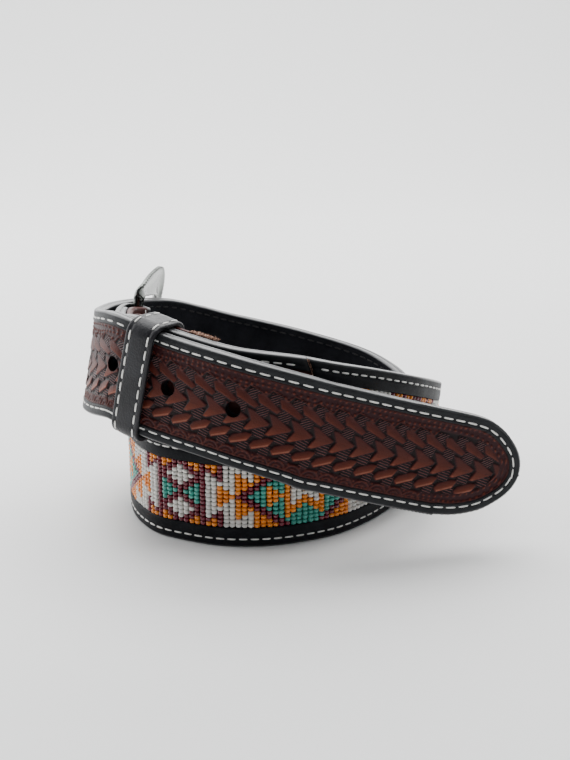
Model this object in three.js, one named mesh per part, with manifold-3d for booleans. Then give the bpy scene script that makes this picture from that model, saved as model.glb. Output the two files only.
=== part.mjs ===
// Beaded leather belt, buckled shut and coiled in two turns that stand on edge.
// Millimetres, +Z up. The coil rests on its lower edge, with its front towards -Y.
import * as THREE from 'three';
import { mergeVertices } from 'three/addons/utils/BufferGeometryUtils.js';
import Module from 'manifold-3d';

const wasm = await Module();
wasm.setup();

// Strap
const STRAP_WIDTH = 38.1;
const HALF_WIDTH = STRAP_WIDTH / 2;
const LINER_THICKNESS = 1.8;
const OVERLAY_THICKNESS = 2.0;
const GAP = 0.3;
const LINER_TOP = OVERLAY_THICKNESS + GAP;
const STRAP_THICKNESS = LINER_TOP + LINER_THICKNESS;
const STEP = 5.5;
const EDGE_SETBACK = 0.4;
const EDGE_DROP = 0.5;

// The coil's middle in the plan of the station table
const COIL_MIDDLE = { x: 3.5, y: 428.5 };

// Plan of the strap's outer face from the heel bar to the tip, anticlockwise from above.
// foot is the height of the lower edge; lean tips the upper edge inwards, in degrees.
const STATIONS = [
  { x: -64, y: 446, foot: 37.4, lean: 10 },
  { x: -66.4, y: 436, foot: 39.2, lean: 10 },
  { x: -66.8, y: 422, foot: 40.6, lean: 10 },
  { x: -63.6, y: 404, foot: 41.8, lean: 8 },
  { x: -55, y: 390, foot: 43.7, lean: 5 },
  { x: -36, y: 376.5, foot: 40.6, lean: 2 },
  { x: -18, y: 369.5, foot: 37.4, lean: 0 },
  { x: 5, y: 370.5, foot: 34.0, lean: 0 },
  { x: 17.8, y: 376, foot: 30.4, lean: 0 },
  { x: 33.4, y: 387, foot: 25.1, lean: 0 },
  { x: 49.8, y: 405, foot: 17.4, lean: -2 },
  { x: 59.6, y: 430, foot: 8.6, lean: -5 },
  { x: 57.4, y: 455, foot: 3.0, lean: -3 },
  { x: 42, y: 477, foot: 0, lean: 0 },
  { x: 10, y: 490, foot: 0, lean: -6 },
  { x: -14, y: 492, foot: 0, lean: -18 },
  { x: -31, y: 487, foot: 0, lean: -31 },
  { x: -39, y: 476, foot: 0, lean: -39 },
  { x: -43, y: 463, foot: 0, lean: -37 },
  { x: -47, y: 450, foot: 0, lean: -26 },
  { x: -54, y: 438, foot: 0, lean: -12 },
  { x: -60.6, y: 425, foot: 0, lean: 0 },
  { x: -59.4, y: 412.9, foot: 0, lean: 0 },
  { x: -55, y: 400.5, foot: 0, lean: 0 },
  { x: -47, y: 389, foot: 0, lean: 0 },
  { x: -37, y: 383, foot: 0, lean: 0 },
  { x: -23, y: 377.9, foot: 0, lean: 0 },
  { x: -7.4, y: 377.6, foot: 0, lean: 0 },
  { x: 5.4, y: 381, foot: 0, lean: 0 },
  { x: 19.6, y: 388.4, foot: 0, lean: 0 },
  { x: 34.9, y: 404.3, foot: 0, lean: 0 },
  { x: 47, y: 425, foot: 0, lean: 0 },
  { x: 50.5, y: 440, foot: 2.2, lean: 0 },
  { x: 49.5, y: 453, foot: 5.6, lean: 0 },
  { x: 41.5, y: 466, foot: 9, lean: 0 },
  { x: 31, y: 474, foot: 12, lean: 0 },
  { x: 6, y: 480.5, foot: 18, lean: 0 },
  { x: -25, y: 481, foot: 25.2, lean: 0 },
  { x: -41, y: 476, foot: 30.6, lean: 4 },
  { x: -52, y: 468, foot: 34.8, lean: 8 },
  { x: -64, y: 454, foot: 37.8, lean: 10 },
  { x: -71.4, y: 438, foot: 39.8, lean: 11 },
  { x: -73.8, y: 421, foot: 41.2, lean: 10 },
  { x: -71.6, y: 405, foot: 43.2, lean: 9 },
  { x: -61, y: 387, foot: 45.3, lean: 6 },
  { x: -41, y: 373.5, foot: 40.7, lean: 3 },
  { x: -18.7, y: 363, foot: 36.6, lean: 0 },
  { x: 4.9, y: 360, foot: 30.8, lean: 0 },
  { x: 15.4, y: 362, foot: 27.4, lean: 0 },
  { x: 51, y: 370.3, foot: 16.6, lean: 0 },
  { x: 82, y: 378, foot: 7.8, lean: 0 },
];

// Beadwork window in the body
const BODY_MARGIN = 7.3;
const BEAD_DEPTH = 0.3;
const BODY_START = 125;
const SEAM_POINT = 6;
const SEAM_ROWS = 5;
const WINDOW_FROM = 23;
const WINDOW_SETBACK = 7;

// Billet
const BILLET_LENGTH = 266;
const BILLET_MARGIN = 4.8;
const TIP_TO_HOLE = 106;
const HOLE_PITCH = 25.4;
const HOLE_COUNT = 7;
const HOLE_DIAMETER = 5.5;
const HOLE_RISE = 1.2;
const HOLE_SIDES = 14;

// Rounded point of the billet: back is the distance from the tip
const TIP_OUTLINE = [
  { back: 27, upper: 19.05, lower: -18.7 },
  { back: 20.5, upper: 18.2, lower: -17.8 },
  { back: 15, upper: 16.9, lower: -16.2 },
  { back: 10, upper: 14.4, lower: -13.9 },
  { back: 6, upper: 11.4, lower: -10.8 },
  { back: 3, upper: 8.8, lower: -7.8 },
  { back: 1, upper: 6, lower: -4.8 },
  { back: 0, upper: 3.4, lower: -2.2 },
];

// Buckle tab: leather folded round the heel bar
const BAR_STATION = 9.5;
const FOLD_RADIUS = 3.0;
const FOLD_CENTRE = OVERLAY_THICKNESS + FOLD_RADIUS;
const FOLD_STEPS = 6;
const TAB_END = 92;
const INNER_RUN = STRAP_THICKNESS + GAP;
const LINER_START = 22;
const SLOT_HALF_WIDTH = 4;
const SLOT_LENGTH = 9;

// Joints of the liner
const LINER_SECOND_START = 75 * STEP;
const LINER_BILLET_START = 127 * STEP;

// Keeper
const KEEPER_STATION = 824.3;
const KEEPER_WIDTH = 11.6;
const KEEPER_THICKNESS = 1.4;
const KEEPER_INSIDE = { upper: 19.9, lower: -21, front: -1.0, back: 14.6 };
const KEEPER_UPRIGHT = 2.8;
const KEEPER_CORNER = 2.2;

// Buckle frame, in the plane of the frame: along from the heel bar, across from the middle.
const FRAME_OUTLINE = [
  { outerAlong: -2.2, outerAcross: 0, innerAlong: 2.2, innerAcross: 0 },
  { outerAlong: -2.2, outerAcross: 10, innerAlong: 2.2, innerAcross: 10 },
  { outerAlong: -2.2, outerAcross: 20.8, innerAlong: 2.2, innerAcross: 20.4 },
  { outerAlong: -3.6, outerAcross: 22.6, innerAlong: 4, innerAcross: 21.2 },
  { outerAlong: -3.2, outerAcross: 25.2, innerAlong: 8, innerAcross: 21.9 },
  { outerAlong: 4, outerAcross: 28, innerAlong: 14, innerAcross: 22.1 },
  { outerAlong: 14, outerAcross: 30.4, innerAlong: 20, innerAcross: 22 },
  { outerAlong: 24, outerAcross: 31.6, innerAlong: 25.4, innerAcross: 21.6 },
  { outerAlong: 31, outerAcross: 30, innerAlong: 28.8, innerAcross: 19.4 },
  { outerAlong: 36, outerAcross: 24.5, innerAlong: 30.4, innerAcross: 15.4 },
  { outerAlong: 38.2, outerAcross: 12, innerAlong: 30.8, innerAcross: 7.4 },
  { outerAlong: 38.6, outerAcross: 0, innerAlong: 30.8, innerAcross: 0 },
];
const FRAME_SAMPLES = 72;
const FRAME_REACH_STATION = 722;
const FRAME_STAND_OFF = 6.6;
const FRAME_RISE = 0.5;
const RIM_EDGE = 0.8;
const RIM_CREST = 2.1;
const RIM_HOLLOW = 0.3;
const FRAME_DOME = 1.6;

// Prong
const PRONG_RADIUS = 1.1;
const PRONG_HOLE = 5;
const PRONG_SIDES = 8;
const PRONG_STEPS = 26;
const PRONG_BEND = 4.5;
const PRONG_EASE = 0.6;

// Colours
const BLACK_LEATHER = { color: 0x17171b, roughness: 0.5, metalness: 0 };
const BACKING_LEATHER = { color: 0x121216, roughness: 0.8, metalness: 0 };
const BROWN_LEATHER = { color: 0x5f3226, roughness: 0.55, metalness: 0 };
const BEADWORK = { color: 0xd08a4a, roughness: 0.35, metalness: 0 };
const SILVER = { color: 0xc9cacc, roughness: 0.3, metalness: 1 };

// Splines through table rows

// Value of one column, a fraction of the way from row to row + 1, with centripetal knots
function splineColumn(rows, knots, column, row, fraction) {
  const read = (index) => {
    if (index < 0) return 2 * rows[0][column] - rows[1][column];
    if (index >= rows.length) return 2 * rows.at(-1)[column] - rows.at(-2)[column];
    return rows[index][column];
  };
  const [a, b, c, d] = [read(row - 1), read(row), read(row + 1), read(row + 2)];
  const before = knots[Math.max(row - 1, 0)];
  const here = knots[row];
  const after = knots[Math.min(row + 1, knots.length - 1)];
  const startSlope = ((b - a) / before - (c - a) / (before + here) + (c - b) / here) * here;
  const endSlope = ((c - b) / here - (d - b) / (here + after) + (d - c) / after) * here;
  const square = -3 * b + 3 * c - 2 * startSlope - endSlope;
  const cube = 2 * b - 2 * c + startSlope + endSlope;
  return b + fraction * (startSlope + fraction * (square + fraction * cube));
}

// Root of the distance between neighbouring rows
function knotSpans(rows, first, second) {
  const spans = [];
  for (let row = 0; row < rows.length - 1; row += 1) {
    const run = rows[row + 1][first] - rows[row][first];
    const rise = rows[row + 1][second] - rows[row][second];
    spans.push(Math.sqrt(Math.hypot(run, rise)));
  }
  return spans;
}

// Path of the strap

const STATION_KNOTS = knotSpans(STATIONS, 'x', 'y');
const PATH_SAMPLES_PER_ROW = 24;
const TANGENT_STEP = 0.01;

function stationAt(position) {
  const row = Math.min(Math.floor(position), STATIONS.length - 2);
  const column = (name) => splineColumn(STATIONS, STATION_KNOTS, name, row, position - row);
  const foot = Math.max(0, column('foot'));
  const lean = foot > 0 ? column('lean') : Math.min(0, column('lean'));
  return { point: new THREE.Vector3(column('x'), column('y'), foot), lean };
}

function measurePath() {
  const lengths = [{ length: 0, position: 0 }];
  const last = (STATIONS.length - 1) * PATH_SAMPLES_PER_ROW;
  let before = stationAt(0).point;
  for (let sample = 1; sample <= last; sample += 1) {
    const position = sample / PATH_SAMPLES_PER_ROW;
    const { point } = stationAt(position);
    const length = lengths.at(-1).length + point.distanceTo(before);
    lengths.push({ length, position });
    before = point;
  }
  return lengths;
}

const PATH = measurePath();
const STRAP_LENGTH = PATH.at(-1).length;

function positionAtLength(length) {
  let low = 0;
  let high = PATH.length - 1;
  while (high - low > 1) {
    const middle = Math.floor((low + high) / 2);
    if (PATH[middle].length > length) high = middle;
    else low = middle;
  }
  const span = PATH[high].length - PATH[low].length;
  const share = (length - PATH[low].length) / span;
  return PATH[low].position + share * (PATH[high].position - PATH[low].position);
}

// Middle of the outer face, with the directions along, up across and out of the strap
function strapFrame(length) {
  const position = positionAtLength(length);
  const { point, lean } = stationAt(position);
  const before = stationAt(Math.max(position - TANGENT_STEP, 0)).point;
  const after = stationAt(Math.min(position + TANGENT_STEP, STATIONS.length - 1)).point;
  const along = after.sub(before).normalize();
  const up = new THREE.Vector3(0, 0, 1).addScaledVector(along, -along.z).normalize();
  const out = new THREE.Vector3().crossVectors(along, up);
  const tilt = THREE.MathUtils.degToRad(-lean);
  up.applyAxisAngle(along, tilt);
  out.applyAxisAngle(along, tilt);
  const centre = new THREE.Vector3(point.x, point.y, point.z + HALF_WIDTH * up.z);
  return { centre, along, up, out };
}

// Point at a length along the strap, a height across it and a depth below its outer face
function place(length, across, depth) {
  const { centre, up, out } = strapFrame(length);
  return centre.clone().addScaledVector(up, across).addScaledVector(out, -depth);
}

// Solids

function solidMesh(name, material, vertices, triangles) {
  const geometry = new THREE.BufferGeometry();
  const positions = vertices.flatMap((vertex) => [vertex.x, vertex.y, vertex.z]);
  geometry.setAttribute('position', new THREE.Float32BufferAttribute(positions, 3));
  geometry.setIndex(triangles.flat());
  geometry.computeVertexNormals();
  const mesh = new THREE.Mesh(geometry, new THREE.MeshStandardMaterial(material));
  mesh.name = name;
  return mesh;
}

// Strip of leather through rows of rails, with a skin and a flesh point on each rail.
// filled(row, rail) says whether the leather is there between this row and rail and the next.
function stripSolid(rows, filled) {
  const rails = rows[0].skin.length;
  const vertices = rows.flatMap((row) => [...row.skin, ...row.flesh]);
  const skin = (row, rail) => row * rails * 2 + rail;
  const flesh = (row, rail) => skin(row, rail) + rails;
  const isFilled = (row, rail) => {
    const inside = row >= 0 && row < rows.length - 1 && rail >= 0 && rail < rails - 1;
    return inside && filled(row, rail);
  };
  const triangles = [];
  const quad = (a, b, c, d) => triangles.push([a, b, c], [a, c, d]);
  for (let row = 0; row < rows.length - 1; row += 1) {
    for (let rail = 0; rail < rails - 1; rail += 1) {
      if (!isFilled(row, rail)) continue;
      const [r, s] = [row + 1, rail + 1];
      quad(skin(row, rail), skin(r, rail), skin(r, s), skin(row, s));
      quad(flesh(row, rail), flesh(row, s), flesh(r, s), flesh(r, rail));
      if (!isFilled(row - 1, rail)) quad(skin(row, rail), skin(row, s), flesh(row, s), flesh(row, rail));
      if (!isFilled(row + 1, rail)) quad(skin(r, rail), flesh(r, rail), flesh(r, s), skin(r, s));
      if (!isFilled(row, rail - 1)) quad(skin(row, rail), flesh(row, rail), flesh(r, rail), skin(r, rail));
      if (!isFilled(row, rail + 1)) quad(skin(row, s), skin(r, s), flesh(r, s), flesh(row, s));
    }
  }
  return weldUsed(vertices, triangles);
}

// Drops the points that no triangle uses
function weldUsed(vertices, triangles) {
  const kept = new Map();
  const used = [];
  const renumber = (index) => {
    if (!kept.has(index)) {
      kept.set(index, used.length);
      used.push(vertices[index]);
    }
    return kept.get(index);
  };
  const faces = triangles.map((triangle) => triangle.map(renumber));
  return { vertices: used, triangles: faces };
}

const always = () => true;

// Both ends and the whole steps between them, which every layer shares
function lengthsBetween(from, to) {
  const lengths = [from];
  for (let length = Math.ceil(from / STEP) * STEP; length < to; length += STEP) {
    if (length > from + GAP && length < to - GAP) lengths.push(length);
  }
  return [...lengths, to];
}

// Rails across a strap: both edges, the border lines and the middle
function strapRails(margin, edge, upper, lower) {
  const border = Math.min(margin, (upper - lower) / 3);
  return [
    { across: lower + edge, drop: EDGE_DROP },
    { across: lower + border, drop: 0 },
    { across: (upper + lower) / 2, drop: 0 },
    { across: upper - border, drop: 0 },
    { across: upper - edge, drop: EDGE_DROP },
  ];
}

function overlayRails(margin, upper = HALF_WIDTH, lower = -HALF_WIDTH) {
  return strapRails(margin, EDGE_SETBACK, upper, lower);
}

function linerRails(margin, upper = HALF_WIDTH, lower = -HALF_WIDTH) {
  return strapRails(margin, 0, upper, lower);
}

function overlayRow(length, rails, shift = () => 0) {
  return {
    skin: rails.map((rail) => place(length + shift(rail.across), rail.across, rail.drop)),
    flesh: rails.map((rail) => place(length + shift(rail.across), rail.across, OVERLAY_THICKNESS)),
  };
}

// Liner

function linerRow(length, rails) {
  return {
    skin: rails.map((rail) => place(length, rail.across, LINER_TOP)),
    flesh: rails.map((rail) => place(length, rail.across, STRAP_THICKNESS - rail.drop)),
  };
}

function linerPiece(name, from, to) {
  const rails = linerRails(BODY_MARGIN);
  const rows = lengthsBetween(from, to).map((length) => linerRow(length, rails));
  const { vertices, triangles } = stripSolid(rows, always);
  return solidMesh(name, BACKING_LEATHER, vertices, triangles);
}

// Boolean cuts

function toManifold(geometry) {
  const bare = geometry.clone();
  bare.deleteAttribute('normal');
  bare.deleteAttribute('uv');
  const merged = mergeVertices(bare, 1e-4);
  const vertProperties = new Float32Array(merged.attributes.position.array);
  const triVerts = new Uint32Array(merged.index.array);
  return new wasm.Manifold(new wasm.Mesh({ numProp: 3, vertProperties, triVerts }));
}

function fromManifold(solid) {
  const { vertProperties, triVerts } = solid.getMesh();
  const geometry = new THREE.BufferGeometry();
  geometry.setAttribute('position', new THREE.Float32BufferAttribute(vertProperties, 3));
  geometry.setIndex(new THREE.BufferAttribute(new Uint32Array(triVerts), 1));
  geometry.computeVertexNormals();
  return geometry;
}

function holeLength(index) {
  return STRAP_LENGTH - TIP_TO_HOLE - index * HOLE_PITCH;
}

function punchHoles(mesh) {
  let solid = toManifold(mesh.geometry);
  for (let index = 0; index < HOLE_COUNT; index += 1) {
    const length = holeLength(index);
    const { out } = strapFrame(length);
    const punch = new THREE.CylinderGeometry(
      HOLE_DIAMETER / 2, HOLE_DIAMETER / 2, STRAP_THICKNESS * 3, HOLE_SIDES,
    );
    punch.applyQuaternion(new THREE.Quaternion().setFromUnitVectors(new THREE.Vector3(0, 1, 0), out));
    const middle = place(length, HOLE_RISE, STRAP_THICKNESS / 2);
    punch.translate(middle.x, middle.y, middle.z);
    solid = solid.subtract(toManifold(punch));
  }
  mesh.geometry = fromManifold(solid);
  return mesh;
}

// Billet

function tipRows(rowAt) {
  return TIP_OUTLINE.map((row) => rowAt(STRAP_LENGTH - row.back, row.upper, row.lower));
}

function billetOverlay() {
  const start = STRAP_LENGTH - BILLET_LENGTH;
  const straightEnd = STRAP_LENGTH - TIP_OUTLINE[0].back - STEP;
  const rails = overlayRails(BILLET_MARGIN);
  const straight = lengthsBetween(start, straightEnd).map((length) => overlayRow(length, rails));
  const point = tipRows((length, upper, lower) => (
    overlayRow(length, overlayRails(BILLET_MARGIN, upper, lower))
  ));
  const { vertices, triangles } = stripSolid([...straight, ...point], always);
  return punchHoles(solidMesh('billet_overlay', BROWN_LEATHER, vertices, triangles));
}

function billetLiner(from) {
  const straightEnd = STRAP_LENGTH - TIP_OUTLINE[0].back - STEP;
  const straight = lengthsBetween(from, straightEnd).map((length) => linerRow(length, linerRails(BILLET_MARGIN)));
  const point = tipRows((length, upper, lower) => (
    linerRow(length, linerRails(BILLET_MARGIN, upper, lower))
  ));
  const { vertices, triangles } = stripSolid([...straight, ...point], always);
  return punchHoles(solidMesh('liner_billet', BACKING_LEATHER, vertices, triangles));
}

// Body

// The seam where two leathers meet is a V whose point, at mid-width, is further along the strap.
// share is how far a row follows the V: 1 on the seam, 0 where the rows are square again.
function seamShift(share) {
  return (across) => share * SEAM_POINT * (1 - Math.abs(across) / HALF_WIDTH);
}

const SEAM_SHARES = Array.from({ length: SEAM_ROWS }, (_, row) => (row + 1) / SEAM_ROWS);

function bodyOverlay() {
  const start = BODY_START + GAP;
  const end = STRAP_LENGTH - BILLET_LENGTH - GAP;
  const window = { from: start + WINDOW_FROM, to: end - WINDOW_SETBACK };
  const rails = overlayRails(BODY_MARGIN);
  const seamRows = SEAM_SHARES.toReversed().map((share) => (
    overlayRow(start + (1 - share) * WINDOW_FROM, rails, seamShift(share))
  ));
  const lengths = [...lengthsBetween(window.from, window.to), end];
  const rows = [...seamRows, ...lengths.map((length) => overlayRow(length, rails))];
  const inWindow = (row, rail) => row >= SEAM_ROWS && row < rows.length - 2 && (rail === 1 || rail === 2);
  const { vertices, triangles } = stripSolid(rows, (row, rail) => !inWindow(row, rail));
  return solidMesh('body_overlay', BLACK_LEATHER, vertices, triangles);
}

function beadedBand() {
  const from = BODY_START + GAP + WINDOW_FROM + GAP;
  const to = STRAP_LENGTH - BILLET_LENGTH - GAP - WINDOW_SETBACK - GAP;
  const reach = HALF_WIDTH - BODY_MARGIN - GAP;
  const rows = lengthsBetween(from, to).map((length) => ({
    skin: [-reach, 0, reach].map((across) => place(length, across, BEAD_DEPTH)),
    flesh: [-reach, 0, reach].map((across) => place(length, across, OVERLAY_THICKNESS)),
  }));
  const { vertices, triangles } = stripSolid(rows, always);
  return solidMesh('beaded_band', BEADWORK, vertices, triangles);
}

// Buckle tab

// Depth of the fold-back's outer side, which swells round the heel bar
function innerRunDepth(length) {
  const swell = FOLD_CENTRE + FOLD_RADIUS - INNER_RUN;
  const share = THREE.MathUtils.clamp((length - BAR_STATION) / (LINER_START - BAR_STATION), 0, 1);
  return INNER_RUN + swell * (1 - THREE.MathUtils.smoothstep(share, 0, 1));
}

function tabRow(skin, flesh, heights, shift = () => 0) {
  const point = (spot, across) => place(spot.length + shift(across), across, spot.depth);
  return {
    skin: heights.map((across) => point(skin, across)),
    flesh: heights.map((across) => point(flesh, across)),
  };
}

function tabHeights() {
  const reach = HALF_WIDTH - EDGE_SETBACK;
  return [-reach, -SLOT_HALF_WIDTH, 0, SLOT_HALF_WIDTH, reach];
}

function buckleTab() {
  const heights = tabHeights();
  const rows = [];
  const slotRows = [];
  const addRow = (skin, flesh, inSlot, shift) => {
    slotRows.push(inSlot);
    rows.push(tabRow(skin, flesh, heights, shift));
  };
  const slotEnd = BAR_STATION + SLOT_LENGTH;
  const innerLengths = [
    ...lengthsBetween(BAR_STATION, slotEnd).slice(1),
    ...lengthsBetween(slotEnd, TAB_END).slice(1),
  ].reverse();
  for (const length of innerLengths) {
    const depth = innerRunDepth(length);
    addRow({ length, depth: depth + OVERLAY_THICKNESS }, { length, depth }, length <= slotEnd);
  }
  for (let step = 0; step <= FOLD_STEPS; step += 1) {
    const turn = (Math.PI * step) / FOLD_STEPS;
    const spot = (radius) => ({
      length: BAR_STATION - radius * Math.sin(turn),
      depth: FOLD_CENTRE + radius * Math.cos(turn),
    });
    addRow(spot(FOLD_RADIUS + OVERLAY_THICKNESS), spot(FOLD_RADIUS), true);
  }
  const squareEnd = BODY_START - STEP;
  const outerLengths = [
    ...lengthsBetween(BAR_STATION, slotEnd).slice(1),
    ...lengthsBetween(slotEnd, squareEnd).slice(1),
  ];
  const addOuterRow = (length, shift) => {
    addRow({ length, depth: 0 }, { length, depth: OVERLAY_THICKNESS }, length < slotEnd, shift);
  };
  for (const length of outerLengths) addOuterRow(length);
  for (const share of SEAM_SHARES) addOuterRow(squareEnd + share * STEP, seamShift(share));
  const filled = (row, rail) => !(slotRows[row] && (rail === 1 || rail === 2));
  const { vertices, triangles } = stripSolid(rows, filled);
  return solidMesh('buckle_tab', BROWN_LEATHER, vertices, triangles);
}

// Keeper

function roundedLoop(box, radius, PathKind) {
  const loop = new PathKind();
  const [left, right, low, high] = [box.front, box.back, box.lower, box.upper];
  loop.moveTo(left + radius, low);
  loop.lineTo(right - radius, low);
  loop.absarc(right - radius, low + radius, radius, -Math.PI / 2, 0, false);
  loop.lineTo(right, high - radius);
  loop.absarc(right - radius, high - radius, radius, 0, Math.PI / 2, false);
  loop.lineTo(left + radius, high);
  loop.absarc(left + radius, high - radius, radius, Math.PI / 2, Math.PI, false);
  loop.lineTo(left, low + radius);
  loop.absarc(left + radius, low + radius, radius, Math.PI, 1.5 * Math.PI, false);
  return loop;
}

function keeper() {
  const inside = KEEPER_INSIDE;
  const outside = {
    upper: inside.upper + KEEPER_THICKNESS,
    lower: inside.lower - KEEPER_THICKNESS,
    front: inside.front - KEEPER_THICKNESS,
    back: inside.back + KEEPER_THICKNESS,
  };
  const shape = roundedLoop(outside, KEEPER_CORNER + KEEPER_THICKNESS, THREE.Shape);
  shape.holes.push(roundedLoop(inside, KEEPER_CORNER, THREE.Path));
  const geometry = new THREE.ExtrudeGeometry(shape, {
    depth: KEEPER_WIDTH, bevelEnabled: false, curveSegments: 4,
  });
  geometry.translate(0, 0, -KEEPER_WIDTH / 2);
  const { centre, up, out } = strapFrame(KEEPER_STATION);
  const inward = out.clone().negate();
  const side = new THREE.Vector3().crossVectors(inward, up);
  for (const axis of [inward, up]) axis.applyAxisAngle(side, THREE.MathUtils.degToRad(KEEPER_UPRIGHT));
  const matrix = new THREE.Matrix4().makeBasis(inward, up, side).setPosition(centre);
  geometry.applyMatrix4(matrix);
  const solid = fromManifold(toManifold(geometry));
  const mesh = new THREE.Mesh(solid, new THREE.MeshStandardMaterial(BLACK_LEATHER));
  mesh.name = 'keeper';
  return mesh;
}

// Buckle

// Axes of the frame's plane, from the heel bar towards the far end outside the strap
function buckleAxes() {
  const bar = place(BAR_STATION, 0, FOLD_CENTRE);
  const reach = place(FRAME_REACH_STATION, 0, -FRAME_STAND_OFF);
  const across = strapFrame(BAR_STATION).up;
  const along = reach.sub(bar);
  along.addScaledVector(across, -along.dot(across)).normalize();
  const out = new THREE.Vector3().crossVectors(across, along);
  return { bar, along, across, out };
}

function outlineSamples() {
  const half = FRAME_OUTLINE;
  const mirrored = half.slice(1, -1).reverse().map((row) => ({
    ...row, outerAcross: -row.outerAcross, innerAcross: -row.innerAcross,
  }));
  const rows = [...half, ...mirrored];
  const outer = rows.map((row) => new THREE.Vector3(row.outerAlong, row.outerAcross, 0));
  const inner = rows.map((row) => new THREE.Vector3(row.innerAlong, row.innerAcross, 0));
  const outerCurve = new THREE.CatmullRomCurve3(outer, true, 'centripetal');
  const innerCurve = new THREE.CatmullRomCurve3(inner, true, 'centripetal');
  const samples = [];
  for (let sample = 0; sample < FRAME_SAMPLES; sample += 1) {
    const share = sample / FRAME_SAMPLES;
    samples.push({ outer: outerCurve.getPoint(share), inner: innerCurve.getPoint(share) });
  }
  return samples;
}

function buckleFrame() {
  const { bar, along, across, out } = buckleAxes();
  const toWorld = (a, w, n) => bar.clone()
    .addScaledVector(along, a).addScaledVector(across, w).addScaledVector(out, n);
  const widest = Math.max(...FRAME_OUTLINE.map((row) => row.outerAcross));
  const vertices = [];
  for (const { outer, inner } of outlineSamples()) {
    const middle = outer.clone().lerp(inner, 0.5);
    const onBar = THREE.MathUtils.smoothstep(middle.x, 1, 6);
    const hollow = THREE.MathUtils.lerp(-RIM_CREST, RIM_HOLLOW, onBar);
    const ring = [
      [outer, RIM_EDGE], [middle, RIM_CREST], [inner, RIM_EDGE],
      [inner, -RIM_EDGE], [middle, hollow], [outer, -RIM_EDGE],
    ];
    for (const [point, rise] of ring) {
      const dome = FRAME_DOME * (point.y / widest) ** 2 * onBar;
      vertices.push(toWorld(point.x, point.y + FRAME_RISE, rise - dome));
    }
  }
  const ringSize = 6;
  const triangles = [];
  for (let sample = 0; sample < FRAME_SAMPLES; sample += 1) {
    const here = sample * ringSize;
    const next = ((sample + 1) % FRAME_SAMPLES) * ringSize;
    for (let side = 0; side < ringSize; side += 1) {
      const after = (side + 1) % ringSize;
      triangles.push([here + side, next + after, here + after], [here + side, next + side, next + after]);
    }
  }
  return solidMesh('buckle_frame', SILVER, vertices, triangles);
}

function buckleProng() {
  const { bar, along, across, out } = buckleAxes();
  const onFrame = (a, n) => bar.clone()
    .addScaledVector(along, a).addScaledVector(across, HOLE_RISE).addScaledVector(out, n);
  const hole = holeLength(PRONG_HOLE);
  const inside = STRAP_THICKNESS + PRONG_RADIUS + GAP;
  const outside = -(PRONG_RADIUS + GAP);
  const tip = FRAME_OUTLINE.at(-1);
  const restingRise = RIM_CREST + PRONG_RADIUS + GAP;
  const path = new THREE.CatmullRomCurve3([
    onFrame(FRAME_OUTLINE[0].innerAlong + PRONG_RADIUS + GAP, 0),
    place(hole + PRONG_BEND, HOLE_RISE, inside),
    place(hole, HOLE_RISE, STRAP_THICKNESS + PRONG_EASE),
    place(hole, HOLE_RISE, -PRONG_EASE),
    place(hole - PRONG_BEND, HOLE_RISE, outside),
    onFrame(tip.innerAlong, restingRise),
    onFrame(tip.outerAlong, restingRise),
  ], false, 'centripetal');
  const section = new THREE.Shape();
  section.absarc(0, 0, PRONG_RADIUS, 0, 2 * Math.PI);
  const geometry = new THREE.ExtrudeGeometry(section, {
    steps: PRONG_STEPS, extrudePath: path, curveSegments: PRONG_SIDES / 2, bevelEnabled: false,
  });
  const solid = fromManifold(toManifold(geometry));
  const mesh = new THREE.Mesh(solid, new THREE.MeshStandardMaterial(SILVER));
  mesh.name = 'buckle_prong';
  return mesh;
}

// Assembly

const belt = new THREE.Group();
belt.add(
  linerPiece('liner_first_turn', LINER_START, LINER_SECOND_START - GAP),
  linerPiece('liner_second_turn', LINER_SECOND_START, LINER_BILLET_START - GAP),
  billetLiner(LINER_BILLET_START),
  bodyOverlay(),
  beadedBand(),
  billetOverlay(),
  buckleTab(),
  keeper(),
  buckleFrame(),
  buckleProng(),
);
belt.position.set(-COIL_MIDDLE.x, -COIL_MIDDLE.y, 0);

export default belt;
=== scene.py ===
import math

import bmesh
import bpy
import numpy as np
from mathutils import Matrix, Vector


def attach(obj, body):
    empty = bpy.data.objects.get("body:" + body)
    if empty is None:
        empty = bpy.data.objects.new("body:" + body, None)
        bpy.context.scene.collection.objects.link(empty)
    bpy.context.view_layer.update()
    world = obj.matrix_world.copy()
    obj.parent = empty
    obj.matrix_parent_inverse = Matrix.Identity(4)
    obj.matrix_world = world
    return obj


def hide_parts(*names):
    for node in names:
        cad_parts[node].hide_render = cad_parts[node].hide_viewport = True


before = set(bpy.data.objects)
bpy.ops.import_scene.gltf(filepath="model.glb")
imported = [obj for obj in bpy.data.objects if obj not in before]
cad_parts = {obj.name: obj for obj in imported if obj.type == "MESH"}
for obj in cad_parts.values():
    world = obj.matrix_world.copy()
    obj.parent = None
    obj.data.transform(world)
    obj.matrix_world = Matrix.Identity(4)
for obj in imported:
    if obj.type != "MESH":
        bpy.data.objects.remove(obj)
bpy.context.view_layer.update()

MM = 0.001
BODY = "root"
SEED = 7

# Strap, in millimetres
STRAP_WIDTH = 38.1
HALF_WIDTH = STRAP_WIDTH / 2
OVERLAY_THICKNESS = 2.1
STRAP_THICKNESS = 4.1
EDGE_ROUND = 0.8
STITCH_INSET = 2.9
STITCH_PITCH_BODY = 4.2
STITCH_PITCH_BILLET = 4.7
STITCH_GROOVE = 0.22
STITCH_GROOVE_WIDTH = 0.45

# The coil's middle in the plan of the station table
COIL_MIDDLE = np.array([3.5, 428.5, 0.0])

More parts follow.
